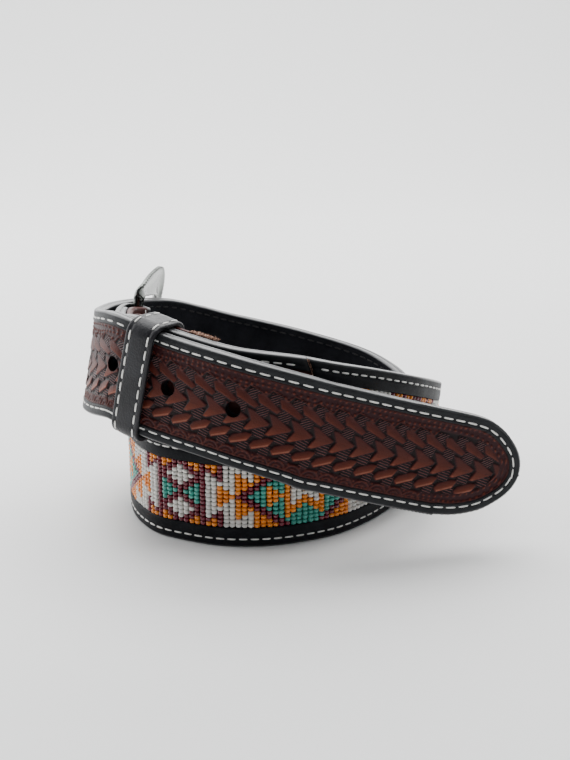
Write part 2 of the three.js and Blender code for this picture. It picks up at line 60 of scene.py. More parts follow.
# Plan of the strap's outer face from the heel bar to the tip, anticlockwise from above.
# Columns: x, y, foot (height of the lower edge), lean (upper edge inwards, in degrees).
STATIONS = np.array([
    (-64, 446, 37.4, 10), (-66.4, 436, 39.2, 10), (-66.8, 422, 40.6, 10), (-63.6, 404, 41.8, 8),
    (-55, 390, 43.7, 5), (-36, 376.5, 40.6, 2), (-18, 369.5, 37.4, 0), (5, 370.5, 34.0, 0),
    (17.8, 376, 30.4, 0), (33.4, 387, 25.1, 0), (49.8, 405, 17.4, -2), (59.6, 430, 8.6, -5),
    (57.4, 455, 3.0, -3), (42, 477, 0, 0), (10, 490, 0, -6), (-14, 492, 0, -18),
    (-31, 487, 0, -31), (-39, 476, 0, -39), (-43, 463, 0, -37), (-47, 450, 0, -26),
    (-54, 438, 0, -12), (-60.6, 425, 0, 0), (-59.4, 412.9, 0, 0), (-55, 400.5, 0, 0),
    (-47, 389, 0, 0), (-37, 383, 0, 0), (-23, 377.9, 0, 0), (-7.4, 377.6, 0, 0),
    (5.4, 381, 0, 0), (19.6, 388.4, 0, 0), (34.9, 404.3, 0, 0), (47, 425, 0, 0),
    (50.5, 440, 2.2, 0), (49.5, 453, 5.6, 0), (41.5, 466, 9, 0), (31, 474, 12, 0),
    (6, 480.5, 18, 0), (-25, 481, 25.2, 0), (-41, 476, 30.6, 4), (-52, 468, 34.8, 8),
    (-64, 454, 37.8, 10), (-71.4, 438, 39.8, 11), (-73.8, 421, 41.2, 10), (-71.6, 405, 43.2, 9),
    (-61, 387, 45.3, 6), (-41, 373.5, 40.7, 3), (-18.7, 363, 36.6, 0), (4.9, 360, 30.8, 0),
    (15.4, 362, 27.4, 0), (51, 370.3, 16.6, 0), (82, 378, 7.8, 0),
])

# Body and its beadwork window
BODY_START = 125.3
SEAM_POINT = 10
SEAM_ROWS = 12
WINDOW_START = 148.3
SEAM_EDGE_SHIFT = 0.22
BODY_MARGIN = 7.3
END_BAND = 7
BILLET_LENGTH = 266

# Beads: column 20 of the chart lies at this length along the strap
BEAD_COLUMN_PITCH = 2.25
BEAD_ROWS = 15
BEAD_ROW_PITCH = (STRAP_WIDTH - 2 * BODY_MARGIN) / BEAD_ROWS
CHART_ANCHOR_COLUMN = 20
CHART_ANCHOR_LENGTH = 500.5
BEAD_DEPTH = 1.0
BEAD_HEIGHT = 1.5
BEAD_DIAMETER = 2.2

# Colours from the edge of the band to its middle row, one string for each column from the
# middle of one cross to the middle of the next motif. W white, O orange, R dark red, T turquoise.
BEAD_CHART = [
    "RWWWWWRR", "RRWWWRRT", "ORRWRRTT", "OORRRTTT", "RRRRRRRR", "ORWWWWWW", "OORWWWWW",
    "RRRRWOOO", "WWWWWWOO", "WWWWWWWO", "WWOOOOOR", "WWWOOORR", "WWWWORRT", "OOOORRTT",
    "OOORRTTT", "OORRTOOO", "ORRTTTOO", "RRTTTTTO", "RTOOOOOO", "TTTOOWWW", "TTTTOOWW",
    "TTTTTOOW",
]
CHART_FIRST_COLUMN = 4

# Billet
BILLET_MARGIN = 4.3
TIP_TO_HOLE = 106
HOLE_PITCH = 25.4
HOLE_COUNT = 7
HOLE_DIAMETER = 5.5
HOLE_RISE = 1.2
HOLE_TONE = 0.9
HOLE_SIDES = 28
# Rounded point of the billet. Columns: distance back from the tip, upper edge, lower edge.
TIP_OUTLINE = np.array([
    (27, 19.05, -18.7), (20.5, 18.8, -17.8), (15, 17.9, -16.2), (10, 15.7, -13.9),
    (6, 12.8, -10.8), (3, 9.9, -7.8), (1, 6.9, -4.8), (0, 4.2, -2.2), (-0.5, 1.3, 0.3),
])

# Buckle tab, folded round the heel bar
BAR_STATION = 9.5
FOLD_RADIUS = 3.0
TAB_END = 92
INNER_RUN = STRAP_THICKNESS + 0.3
LINER_START = 22
SLOT_HALF_WIDTH = 4
SLOT_END = 18.5

# Keeper
KEEPER_STATION = 824.3
KEEPER_WIDTH = 11.6
KEEPER_THICKNESS = 1.4
KEEPER_INSIDE = {"upper": 19.9, "lower": -21, "front": -1.0, "back": 14.6}
KEEPER_UPRIGHT = 2.8
KEEPER_CORNER = 3.8
KEEPER_STITCH_INSET = 1.9
KEEPER_SAMPLES = 220

# Buckle frame, in its own plane. Columns: outer along, outer across, inner along, inner across.
FRAME_OUTLINE = np.array([
    (-2.2, 0, 2.2, 0), (-2.2, 10, 2.2, 10), (-2.2, 20.8, 2.2, 20.4), (-3.6, 22.6, 4, 21.2),
    (-3.2, 25.2, 8, 21.9), (3, 29, 14, 22.1), (12, 31.6, 20, 22), (21, 32.7, 25.4, 21.6),
    (29, 31.2, 28.8, 19.4), (36, 25, 30.4, 15.4), (38.2, 12, 30.8, 7.4), (38.6, 0, 30.8, 0),
])
FRAME_REACH_STATION = 722
FRAME_STAND_OFF = 6.6
FRAME_RISE = 0.5
FRAME_DOME = 1.6
RIM_EDGE = 0.8
RIM_CREST = 2.1
RIM_HOLLOW = 0.3
RIM_SAMPLES = 640
ROPE_PITCH = 1.7
ROPE_RELIEF = 0.28
PRONG_RADIUS = 1.1
PRONG_HOLE = 5
PRONG_BEND = 4.5
PRONG_EASE = 0.6
PRONG_GAP = 0.3
RING_RADIUS = 2.62
RING_SECTION = [(-1.6, -0.22), (1.6, -0.22), (1.6, 0.12), (1.2, 0.25), (-1.2, 0.25), (-1.6, 0.12)]


# Path of the strap

def spline_value(rows, knots, row, fraction):
    """All columns of the table, a fraction of the way from row to row + 1."""
    def read(index):
        if index < 0:
            return 2 * rows[0] - rows[1]
        if index >= len(rows):
            return 2 * rows[-1] - rows[-2]
        return rows[index]
    a, b, c, d = (read(row + step) for step in (-1, 0, 1, 2))
    before = knots[max(row - 1, 0)]
    here = knots[row]
    after = knots[min(row + 1, len(knots) - 1)]
    start = ((b - a) / before - (c - a) / (before + here) + (c - b) / here) * here
    end = ((c - b) / here - (d - b) / (here + after) + (d - c) / after) * here
    square = -3 * b + 3 * c - 2 * start - end
    cube = 2 * b - 2 * c + start + end
    return b + fraction * (start + fraction * (square + fraction * cube))


def knot_spans(rows):
    return np.sqrt(np.linalg.norm(np.diff(rows[:, :2], axis=0), axis=1))


STATION_KNOTS = knot_spans(STATIONS)
PATH_SAMPLES_PER_ROW = 24
TANGENT_STEP = 0.01


def station_at(position):
    row = min(int(position), len(STATIONS) - 2)
    value = spline_value(STATIONS, STATION_KNOTS, row, position - row).copy()
    value[2] = max(0.0, value[2])
    if value[2] == 0:
        value[3] = min(0.0, value[3])
    return value


def measure_path():
    count = (len(STATIONS) - 1) * PATH_SAMPLES_PER_ROW
    positions = np.arange(count + 1) / PATH_SAMPLES_PER_ROW
    points = np.array([station_at(position)[:3] for position in positions])
    steps = np.linalg.norm(np.diff(points, axis=0), axis=1)
    return np.concatenate([[0], np.cumsum(steps)]), positions


PATH_LENGTHS, PATH_POSITIONS = measure_path()
STRAP_LENGTH = PATH_LENGTHS[-1]
BILLET_START = STRAP_LENGTH - BILLET_LENGTH
FRAME_SPACING = 0.5


def strap_frames():
    """Middle of the outer face and the directions along, up across and out, every half millimetre."""
    lengths = np.arange(0, STRAP_LENGTH + FRAME_SPACING, FRAME_SPACING).clip(0, STRAP_LENGTH)
    rows = []
    for position in np.interp(lengths, PATH_LENGTHS, PATH_POSITIONS):
        station = station_at(position)
        before = station_at(max(position - TANGENT_STEP, 0))
        after = station_at(min(position + TANGENT_STEP, len(STATIONS) - 1))
        along = after[:3] - before[:3]
        along /= np.linalg.norm(along)
        upright = np.array([0, 0, 1.0]) - along * along[2]
        upright /= np.linalg.norm(upright)
        outward = np.cross(along, upright)
        lean = math.radians(station[3])
        up = upright * math.cos(lean) - outward * math.sin(lean)
        out = outward * math.cos(lean) + upright * math.sin(lean)
        centre = station[:3] + np.array([0, 0, HALF_WIDTH * up[2]])
        rows.append((centre, along, up, out))
    return lengths, np.array(rows)


FRAME_LENGTHS, FRAMES = strap_frames()


def frames_at(length):
    """Centre, along, up and out at an array of lengths, each as an array of vectors."""
    length = np.asarray(length, dtype=float)
    inside = length.clip(0, STRAP_LENGTH)
    found = np.stack([
        np.stack([np.interp(inside, FRAME_LENGTHS, FRAMES[:, part, axis]) for axis in range(3)], axis=-1)
        for part in range(4)
    ])
    beyond = (length - inside)[..., None]
    found[0] += found[1] * beyond
    return found


def place(length, across, depth):
    """Points at a length along the strap, a height across it and a depth below its outer face."""
    length, across, depth = np.broadcast_arrays(length, across, depth)
    centre, _, up, out = frames_at(length)
    return centre + up * across[..., None] - out * depth[..., None]


# Mesh helpers

def to_metres(points):
    return (np.asarray(points).reshape(-1, 3) - COIL_MIDDLE) * MM


def face_outward(mesh):
    working = bmesh.new()
    working.from_mesh(mesh)
    bmesh.ops.recalc_face_normals(working, faces=working.faces)
    working.to_mesh(mesh)
    working.free()


def add_piece(name, points, faces, material, replaced=(), values=None, strap_map=None):
    """A piece on the belt. values holds named numbers for each point, strap_map length and height."""
    mesh = bpy.data.meshes.new(name)
    mesh.from_pydata(to_metres(points).tolist(), [], faces)
    face_outward(mesh)
    mesh.polygons.foreach_set("use_smooth", np.ones(len(mesh.polygons), dtype=bool))
    for key, numbers in (values or {}).items():
        layer = mesh.attributes.new(key, "FLOAT", "POINT")
        layer.data.foreach_set("value", np.asarray(numbers, dtype=np.float32).ravel())
    if strap_map is not None:
        corners = np.empty(len(mesh.loops), dtype=np.int32)
        mesh.loops.foreach_get("vertex_index", corners)
        layer = mesh.uv_layers.new(name="strap")
        layer.data.foreach_set("uv", (np.asarray(strap_map)[corners] * MM).astype(np.float32).ravel())
    mesh.materials.append(material)
    piece = bpy.data.objects.new(name, mesh)
    bpy.context.scene.collection.objects.link(piece)
    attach(piece, BODY)
    if replaced:
        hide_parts(*replaced)
    return piece


def loop_faces(rows, columns, closed_rows=False, caps=True):
    """Quads of a grid whose columns close on themselves, with an end cap on the first and last row."""
    faces = []
    last = rows if closed_rows else rows - 1
    for row in range(last):
        here = row * columns
        there = ((row + 1) % rows) * columns
        for column in range(columns):
            after = (column + 1) % columns
            faces.append((here + column, here + after, there + after, there + column))
    if caps and not closed_rows:
        faces.append(tuple(range(columns)))
        faces.append(tuple((rows - 1) * columns + column for column in reversed(range(columns))))
    return faces


def strip_faces(rows, columns, filled):
    """Faces of a strip with a skin and a flesh point for each row and column, open where not filled."""
    faces = []
    flesh = rows * columns

    def present(row, column):
        return 0 <= row < rows - 1 and 0 <= column < columns - 1 and filled(row, column)

    for row in range(rows - 1):
        for column in range(columns - 1):
            if not present(row, column):
                continue
            a = row * columns + column
            b, c, d = a + columns, a + columns + 1, a + 1
            faces.append((a, b, c, d))
            faces.append((a + flesh, d + flesh, c + flesh, b + flesh))
            if not present(row - 1, column):
                faces.append((a, d, d + flesh, a + flesh))
            if not present(row + 1, column):
                faces.append((b, b + flesh, c + flesh, c))
            if not present(row, column - 1):
                faces.append((a, a + flesh, b + flesh, b))
            if not present(row, column + 1):
                faces.append((d, c, c + flesh, d + flesh))
    return faces


def repeated_faces(faces, count, copies):
    """The faces of one shape for each of its copies, which have count points each."""
    return [tuple(index + copy * count for index in face) for copy in range(copies) for face in faces]


def drop_unused(points, faces, *others):
    used = np.zeros(len(points), dtype=bool)
    for face in faces:
        used[list(face)] = True
    numbers = np.cumsum(used) - 1
    kept = [tuple(int(numbers[index]) for index in face) for face in faces]
    return [points[used], kept, *[other[used] for other in others]]


def lengths_between(start, end, step):
    count = max(2, int(round((end - start) / step)) + 1)
    return np.linspace(start, end, count)


def smooth_step(value):
    value = np.clip(value, 0, 1)
    return value * value * (3 - 2 * value)


# Section of a strap near its edge

EDGE_INSETS = np.array([0, 0.06, 0.2, 0.42, 0.8, 1.3, 1.9, 2.3, 2.6, 2.9, 3.2, 3.5, 4.1])
MARGIN_CROWN = 0.12


def edge_share(inset):
    """1 on the rounded edge of a strap, 0 on its face."""
    return 1 - smooth_step((np.asarray(inset, dtype=float) - 0.45) / 0.35)


def edge_depth(inset, stitched=True):
    """How far the surface lies below the face at a distance from the edge."""
    inset = np.asarray(inset, dtype=float)
    near = np.clip(EDGE_ROUND - inset, 0, EDGE_ROUND)
    depth = EDGE_ROUND - np.sqrt(EDGE_ROUND ** 2 - near ** 2)
    if stitched:
        groove = np.exp(-(((inset - STITCH_INSET) / STITCH_GROOVE_WIDTH) ** 2))
        depth = depth + STITCH_GROOVE * groove
    return depth


# Materials

def new_material(name):
    material = bpy.data.materials.new(name)
    material.use_nodes = True
    nodes = material.node_tree.nodes
    nodes.clear()
    output = nodes.new("ShaderNodeOutputMaterial")
    shader = nodes.new("ShaderNodeBsdfPrincipled")
    material.node_tree.links.new(shader.outputs["BSDF"], output.inputs["Surface"])
    return material, shader


class Graph:
    """Short names for the nodes of one material."""

    def __init__(self, material):
        self.tree = material.node_tree

    def node(self, kind, **settings):
        made = self.tree.nodes.new(kind)
        for key, value in settings.items():
            setattr(made, key, value)
        return made

    def link(self, source, target):
        self.tree.links.new(source, target)

    def object_coordinates(self):
        return self.node("ShaderNodeTexCoord").outputs["Object"]

    def strap_coordinates(self):
        return self.node("ShaderNodeUVMap", uv_map="strap").outputs["UV"]

    def value_of(self, name):
        return self.node("ShaderNodeAttribute", attribute_name=name).outputs["Fac"]

    def noise(self, vector, scale, detail=4.0, roughness=0.6):
        made = self.node("ShaderNodeTexNoise")
        self.link(vector, made.inputs["Vector"])
        made.inputs["Scale"].default_value = scale
        made.inputs["Detail"].default_value = detail
        made.inputs["Roughness"].default_value = roughness
        return made.outputs["Fac"]

    def cells(self, vector, scale, feature="F1"):
        made = self.node("ShaderNodeTexVoronoi", feature=feature)
        self.link(vector, made.inputs["Vector"])
        made.inputs["Scale"].default_value = scale
        return made.outputs["Distance"]

    def ramp(self, factor, stops):
        made = self.node("ShaderNodeValToRGB")
        elements = made.color_ramp.elements
        elements[0].position, elements[0].color = stops[0][0], (*stops[0][1], 1)
        elements[1].position, elements[1].color = stops[-1][0], (*stops[-1][1], 1)
        for position, color in stops[1:-1]:
            elements.new(position).color = (*color, 1)
        self.link(factor, made.inputs["Fac"])
        return made.outputs["Color"]

    def mix(self, factor, first, second, blend="MIX"):
        made = self.node("ShaderNodeMix", data_type="RGBA", blend_type=blend)
        for source, socket in ((factor, made.inputs[0]), (first, made.inputs[6]), (second, made.inputs[7])):
            if isinstance(source, bpy.types.NodeSocket):
                self.link(source, socket)
            elif isinstance(source, tuple):
                socket.default_value = (*source, 1)
            else:
                socket.default_value = source
        return made.outputs[2]

    def math(self, operation, first, second=0.0):
        made = self.node("ShaderNodeMath", operation=operation)
        for source, socket in ((first, made.inputs[0]), (second, made.inputs[1])):
            if isinstance(source, bpy.types.NodeSocket):
                self.link(source, socket)
            else:
                socket.default_value = source
        return made.outputs[0]

    def between(self, factor, low, high):
        made = self.node("ShaderNodeMapRange")
        self.link(factor, made.inputs["Value"])
        made.inputs["To Min"].default_value = low
        made.inputs["To Max"].default_value = high
        return made.outputs["Result"]

    def polish_edges(self, shader, specular):
        """The burnished edges shine more than the faces."""
        edge = self.value_of("edge")
        self.link(self.between(edge, specular, 0.8), shader.inputs["Specular IOR Level"])
        self.link(self.math("MULTIPLY", edge, 0.5), shader.inputs["Coat Weight"])
        shader.inputs["Coat Roughness"].default_value = 0.32

    def bump(self, height, distance, normal=None, strength=1.0):
        made = self.node("ShaderNodeBump")
        made.inputs["Strength"].default_value = strength
        made.inputs["Distance"].default_value = distance
        self.link(height, made.inputs["Height"])
        if normal is not None:
            self.link(normal, made.inputs["Normal"])
        return made.outputs["Normal"]


def leather_material(name, dark, light, rough, grain=0.00006, specular=0.3):
    """Fine-grained dyed leather, with cloudy colour, pores and a little wear."""
    material, shader = new_material(name)
    graph = Graph(material)
    spot = graph.object_coordinates()
    cloud = graph.noise(spot, 90, 5)
    graph.link(graph.ramp(cloud, [(0.3, dark), (0.72, light)]), shader.inputs["Base Color"])
    graph.link(graph.between(graph.noise(spot, 160, 4), *rough), shader.inputs["Roughness"])
    pores = graph.bump(graph.cells(spot, 1500), grain)
    creases = graph.bump(graph.noise(spot, 420, 6), grain * 1.6, pores)
    graph.link(creases, shader.inputs["Normal"])
    graph.polish_edges(shader, specular)
    return material


def tooled_leather_material():
    """Red-brown stamped leather with a black-dyed margin; its tone paints shade in the cuts and highlights on
    the stamped shapes.
    """
    material, shader = new_material("tooled_leather")
    graph = Graph(material)
    spot = graph.object_coordinates()
    strap = graph.strap_coordinates()
    tone = graph.value_of("tone")
    dye = graph.value_of("dye")
    hatch = graph.value_of("hatch")
    # The tone ramp carries painted light: near black is painted shade in the cuts, the brightest stop is the
    # painted highlight on the stamped shapes.
    brown = graph.ramp(tone, [
        (0.0, (0.004, 0.002, 0.003)), (0.14, (0.028, 0.004, 0.007)), (0.35, (0.06, 0.014, 0.014)),
        (0.6, (0.1, 0.024, 0.014)), (0.85, (0.16, 0.043, 0.025)), (1.0, (0.3, 0.12, 0.08)),
    ])
    cloud = graph.noise(spot, 210, 5)
    worn = graph.mix(graph.between(cloud, 0.0, 0.8), brown, (0.55, 0.3, 0.2), "SOFT_LIGHT")
    pull = graph.node("ShaderNodeMapping")
    pull.inputs["Scale"].default_value = (0.35, 2.2, 1)
    graph.link(strap, pull.inputs["Vector"])
    fibres = graph.noise(pull.outputs["Vector"], 900, 3)
    streaked = graph.mix(graph.between(fibres, 0.0, 0.5), worn, (0.02, 0.006, 0.006), "MIX")
    lines = graph.math("SINE", graph.math("MULTIPLY", graph.value_of("phase"), 2 * math.pi))
    cut_lines = graph.math("MULTIPLY", graph.between(lines, 0.0, 1.0), hatch)
    line_color = graph.mix(graph.between(lines, 0.0, 1.0), (0.006, 0.003, 0.004), (0.15, 0.06, 0.06))
    hatched = graph.mix(hatch, streaked, line_color)
    black = graph.mix(graph.noise(spot, 150, 4), (0.006, 0.0065, 0.008), (0.02, 0.022, 0.025))
    graph.link(graph.mix(dye, hatched, black), shader.inputs["Base Color"])
    graph.link(graph.between(graph.noise(spot, 240, 4), 0.34, 0.55), shader.inputs["Roughness"])
    graph.polish_edges(shader, 0.16)
    grain = graph.bump(graph.noise(spot, 1300, 5), 0.00008)
    lined = graph.bump(cut_lines, 0.0003, grain)
    graph.link(graph.bump(graph.cells(spot, 1700), 0.00004, lined), shader.inputs["Normal"])
    return material


def bead_material(name, color, rough=0.16):
    material, shader = new_material(name)
    graph = Graph(material)
    spot = graph.object_coordinates()
    shade = graph.between(graph.cells(spot, 420), 0.0, 0.5)
    dim = tuple(channel * 0.72 for channel in color)
    graph.link(graph.mix(shade, color, dim), shader.inputs["Base Color"])
    graph.link(graph.between(graph.noise(spot, 500, 2), rough, rough + 0.14), shader.inputs["Roughness"])
    shader.inputs["Coat Weight"].default_value = 0.35
    shader.inputs["Coat Roughness"].default_value = 0.08
    shader.inputs["Subsurface Weight"].default_value = 0.12
    shader.inputs["Subsurface Radius"].default_value = (0.0006, 0.0005, 0.0004)
    graph.link(graph.bump(graph.noise(spot, 900, 2), 0.00003), shader.inputs["Normal"])
    return material


def thread_material(name, light, dark, sheen):
    material, shader = new_material(name)
    graph = Graph(material)
    spot = graph.object_coordinates()
    strands = graph.noise(spot, 2600, 3)
    graph.link(graph.ramp(strands, [(0.3, dark), (0.62, light)]), shader.inputs["Base Color"])
    shader.inputs["Roughness"].default_value = 0.62
    shader.inputs["Sheen Weight"].default_value = sheen
    graph.link(graph.bump(strands, 0.00012), shader.inputs["Normal"])
    return material


def silver_material():
    material, shader = new_material("polished_silver")
    graph = Graph(material)
    spot = graph.object_coordinates()
    tarnish = graph.noise(spot, 130, 5)
    graph.link(graph.ramp(tarnish, [(0.35, (0.08, 0.084, 0.08)), (0.6, (0.17, 0.18, 0.17))]),
               shader.inputs["Base Color"])
    graph.link(graph.between(graph.noise(spot, 420, 5), 0.1, 0.3), shader.inputs["Roughness"])
    shader.inputs["Metallic"].default_value = 1.0
    graph.link(graph.bump(graph.noise(spot, 800, 4), 0.00003), shader.inputs["Normal"])
    return material


def raw_edge_material():
    """Undyed fibrous edge of cut leather."""
    material, shader = new_material("raw_leather")
    graph = Graph(material)
    spot = graph.object_coordinates()
    fibres = graph.noise(spot, 1500, 6)
    color = graph.ramp(fibres, [
        (0.38, (0.03, 0.012, 0.009)), (0.5, (0.22, 0.1, 0.06)), (0.64, (0.5, 0.34, 0.25)),
    ])
    graph.link(color, shader.inputs["Base Color"])
    shader.inputs["Roughness"].default_value = 0.9
    graph.link(graph.bump(fibres, 0.0004), shader.inputs["Normal"])
    return material


BLACK = leather_material(
    "black_leather", (0.004, 0.0045, 0.006), (0.014, 0.015, 0.018), (0.36, 0.5), 0.00006, 0.08)
BACKING = leather_material(
    "backing_leather", (0.005, 0.0052, 0.008), (0.016, 0.017, 0.022), (0.42, 0.62), 0.0001, 0.12)
KEEPER_BLACK = leather_material(
    "keeper_leather", (0.008, 0.008, 0.01), (0.022, 0.022, 0.026), (0.32, 0.44), 0.00008, 0.26)
TOOLED = tooled_leather_material()
RAW = raw_edge_material()
WHITE_THREAD = thread_material("white_thread", (0.95, 0.94, 0.9), (0.78, 0.76, 0.72), 0.3)
BLACK_THREAD = thread_material("black_thread", (0.01, 0.01, 0.012), (0.004, 0.004, 0.005), 0.0)
SILVER = silver_material()
BEADS = {
    "W": ("beads_white", bead_material("white_glass", (0.74, 0.72, 0.68))),
    "O": ("beads_orange", bead_material("orange_glass", (0.82, 0.24, 0.012))),
    "R": ("beads_dark_red", bead_material("dark_red_glass", (0.15, 0.006, 0.02))),
    "T": ("beads_turquoise", bead_material("turquoise_glass", (0.045, 0.34, 0.27))),
}


# Backing: the black inner layer, one strap

def tip_edges(length):
    """Upper and lower edge of the strap at a length."""
    back = STRAP_LENGTH - np.asarray(length, dtype=float)
    table = TIP_OUTLINE[::-1]
    fine = np.linspace(0, len(table) - 1, 200)
    knots = np.sqrt(np.linalg.norm(np.diff(table, axis=0), axis=1))
    rows = np.array([
        spline_value(table, knots, min(int(t), len(table) - 2), t - min(int(t), len(table) - 2)) for t in fine
    ])
    order = np.argsort(rows[:, 0])
    upper = np.interp(back, rows[order, 0], rows[order, 1], right=HALF_WIDTH)
    lower = np.interp(back, rows[order, 0], rows[order, 2], right=-HALF_WIDTH)
    return np.minimum(upper, HALF_WIDTH), np.maximum(lower, -HALF_WIDTH)


def tip_lengths(count):
    """Lengths that crowd together towards the tip."""
    turn = np.linspace(0, math.pi / 2, count)
    reach = TIP_OUTLINE[0, 0] - TIP_OUTLINE[-1, 0]
    return STRAP_LENGTH - TIP_OUTLINE[0, 0] + reach * np.sin(turn)


BACK_INSETS = np.array([0, 0.08, 0.25, 0.5, 0.8, 1.6, 2.4, 2.9, 3.4, 5, 9])


def build_backing():
    straight = lengths_between(LINER_START, STRAP_LENGTH - TIP_OUTLINE[0, 0], 1.0)[:-1]
    lengths = np.concatenate([straight, tip_lengths(26)])
    upper, lower = tip_edges(lengths)
    width = upper - lower
    share = np.minimum(1, width / STRAP_WIDTH)[:, None]
    insets = BACK_INSETS[None, :] * share
    across = np.hstack([
        lower[:, None] + insets, (upper[:, None] - insets)[:, ::-1],
        upper[:, None] - 0.02, lower[:, None] + 0.02,
    ])
    inset_depth = STRAP_THICKNESS - edge_depth(BACK_INSETS)
    depth = np.concatenate([inset_depth, inset_depth[::-1], [OVERLAY_THICKNESS, OVERLAY_THICKNESS]])
    points = place(lengths[:, None], across, depth[None, :])
    rows, columns = across.shape
    share = edge_share(np.concatenate([BACK_INSETS, BACK_INSETS[::-1], [0, 0]]))
    piece = add_piece("backing", points.reshape(-1, 3), loop_faces(rows, columns), BACKING,
                      ("liner_first_turn", "liner_second_turn", "liner_billet"),
                      {"edge": np.broadcast_to(share, across.shape)})
    return piece


# Body: black frame with a window for the beadwork

def seam_shift(across):
    return SEAM_POINT * (1 - np.abs(across) / HALF_WIDTH)


def build_body():
    end = BILLET_START - 0.1
    window_end = end - END_BAND
    shares = np.linspace(0, 1, SEAM_ROWS, endpoint=False)
    seam = BODY_START + shares * (WINDOW_START - BODY_START)
    lengths = np.concatenate([
        seam, lengths_between(WINDOW_START, window_end, 1.0), lengths_between(window_end, end, 1.0)[1:],
    ])
    follow = np.concatenate([1 - shares, np.zeros(len(lengths) - SEAM_ROWS)])
    insets = np.concatenate([EDGE_INSETS, [5.2, 6.4, 7.0, BODY_MARGIN]])
    middle = np.linspace(-HALF_WIDTH + BODY_MARGIN, HALF_WIDTH - BODY_MARGIN, 7)[1:-1]
    across = np.concatenate([-HALF_WIDTH + insets, middle, (HALF_WIDTH - insets)[::-1]])
    inset = HALF_WIDTH - np.abs(across)
    skin_depth = edge_depth(inset) - MARGIN_CROWN * np.exp(-(((inset - 4.9) / 1.6) ** 2))
    skin_depth = skin_depth + 0.15 * (np.abs(inset - BODY_MARGIN) < 0.01)
    at = lengths[:, None] + follow[:, None] * seam_shift(across)[None, :]
    skin = place(at, across[None, :], skin_depth[None, :])
    flesh = place(at, across[None, :], OVERLAY_THICKNESS)
    rows, columns = at.shape
    first_open = len(insets) - 1
    last_open = columns - len(insets)
    window_rows = (lengths >= WINDOW_START - 0.01) & (lengths < window_end - 0.01)

    def filled(row, column):
        return not (window_rows[row] and first_open <= column < last_open)

    faces = strip_faces(rows, columns, filled)
    points = np.concatenate([skin.reshape(-1, 3), flesh.reshape(-1, 3)])
    edge = np.tile(edge_share(inset), (rows, 1)).ravel()
    points, faces, edge = drop_unused(points, faces, np.concatenate([edge, edge]))
    add_piece("body_leather", points, faces, BLACK, ("body_overlay",), {"edge": edge})
    build_bead_ground(WINDOW_START + 0.05, window_end - 0.05)
    build_beads(WINDOW_START, window_end)


def build_bead_ground(start, end):
    """Dark threads and leather under the beads."""
    lengths = lengths_between(start, end, 1.5)
    reach = HALF_WIDTH - BODY_MARGIN - 0.05
    across = np.array([-reach, 0, reach])
    skin = place(lengths[:, None], across[None, :], 1.55)
    flesh = place(lengths[:, None], across[None, :], OVERLAY_THICKNESS)
    faces = strip_faces(len(lengths), 3, lambda row, column: True)
    points = np.concatenate([skin.reshape(-1, 3), flesh.reshape(-1, 3)])
    add_piece("bead_ground", points, faces, BACKING, ("beaded_band",))


BEAD_SIDES = 9
# Half profile of a bead along its hole. Columns: share of the half height, share of the radius.
BEAD_PROFILE = np.array([
    (-1, 0.42), (-0.94, 0.78), (-0.5, 0.98), (0, 1.0), (0.5, 0.98), (0.94, 0.78), (1, 0.42),
])


def chart_index(column):
    """The chart runs to its last column and back again."""
    period = 2 * (len(BEAD_CHART) - 1)
    offset = (column - CHART_FIRST_COLUMN) % period
    return min(offset, period - offset)


def build_beads(start, end):
    random = np.random.default_rng(SEED)
    first = math.ceil((start + 1.1 - CHART_ANCHOR_LENGTH) / BEAD_COLUMN_PITCH) + CHART_ANCHOR_COLUMN
    last = math.floor((end - 1.1 - CHART_ANCHOR_LENGTH) / BEAD_COLUMN_PITCH) + CHART_ANCHOR_COLUMN
    groups = {letter: [] for letter in BEADS}
    for column in range(first, last + 1):
        length = CHART_ANCHOR_LENGTH + (column - CHART_ANCHOR_COLUMN) * BEAD_COLUMN_PITCH
        for row in range(BEAD_ROWS):
            across = (row - (BEAD_ROWS - 1) / 2) * BEAD_ROW_PITCH
            groups[BEAD_CHART[chart_index(column)][min(row, BEAD_ROWS - 1 - row)]].append((length, across))
    turn = np.arange(BEAD_SIDES) * 2 * math.pi / BEAD_SIDES
    heights = np.repeat(BEAD_PROFILE[:, 0], BEAD_SIDES)
    radii = np.repeat(BEAD_PROFILE[:, 1], BEAD_SIDES)
    side = np.tile(np.cos(turn), len(BEAD_PROFILE)) * radii
    front = np.tile(np.sin(turn), len(BEAD_PROFILE)) * radii
    bead_faces = loop_faces(len(BEAD_PROFILE), BEAD_SIDES)
    count = len(heights)
    for letter, spots in groups.items():
        spots = np.array(spots)
        jitter = random.normal(0, 1, (len(spots), 6))
        length = spots[:, 0] + 0.05 * jitter[:, 0]
        across = spots[:, 1] + 0.04 * jitter[:, 1]
        depth = BEAD_DEPTH + 0.05 * jitter[:, 2]
        centre = place(length, across, depth)
        _, along, up, out = frames_at(length)
        tilt = (0.05 * jitter[:, 3])[:, None]
        up_tilted = up + along * tilt
        along_tilted = along - up * tilt
        half_height = (BEAD_HEIGHT / 2) * (1 + 0.04 * jitter[:, 4])
        radius = (BEAD_DIAMETER / 2) * np.minimum(1.03, 1 + 0.03 * jitter[:, 5])
        points = (
            centre[:, None, :]
            + up_tilted[:, None, :] * (heights[None, :] * half_height[:, None])[..., None]
            + along_tilted[:, None, :] * (side[None, :] * radius[:, None])[..., None]
            + out[:, None, :] * (front[None, :] * radius[:, None])[..., None]
        )
        faces = repeated_faces(bead_faces, count, len(spots))
        name, material = BEADS[letter]
        add_piece(name, points.reshape(-1, 3), faces, material)


# Billet with its tooling

CELL = 7.57
CHEVRON_BACK = 9.8
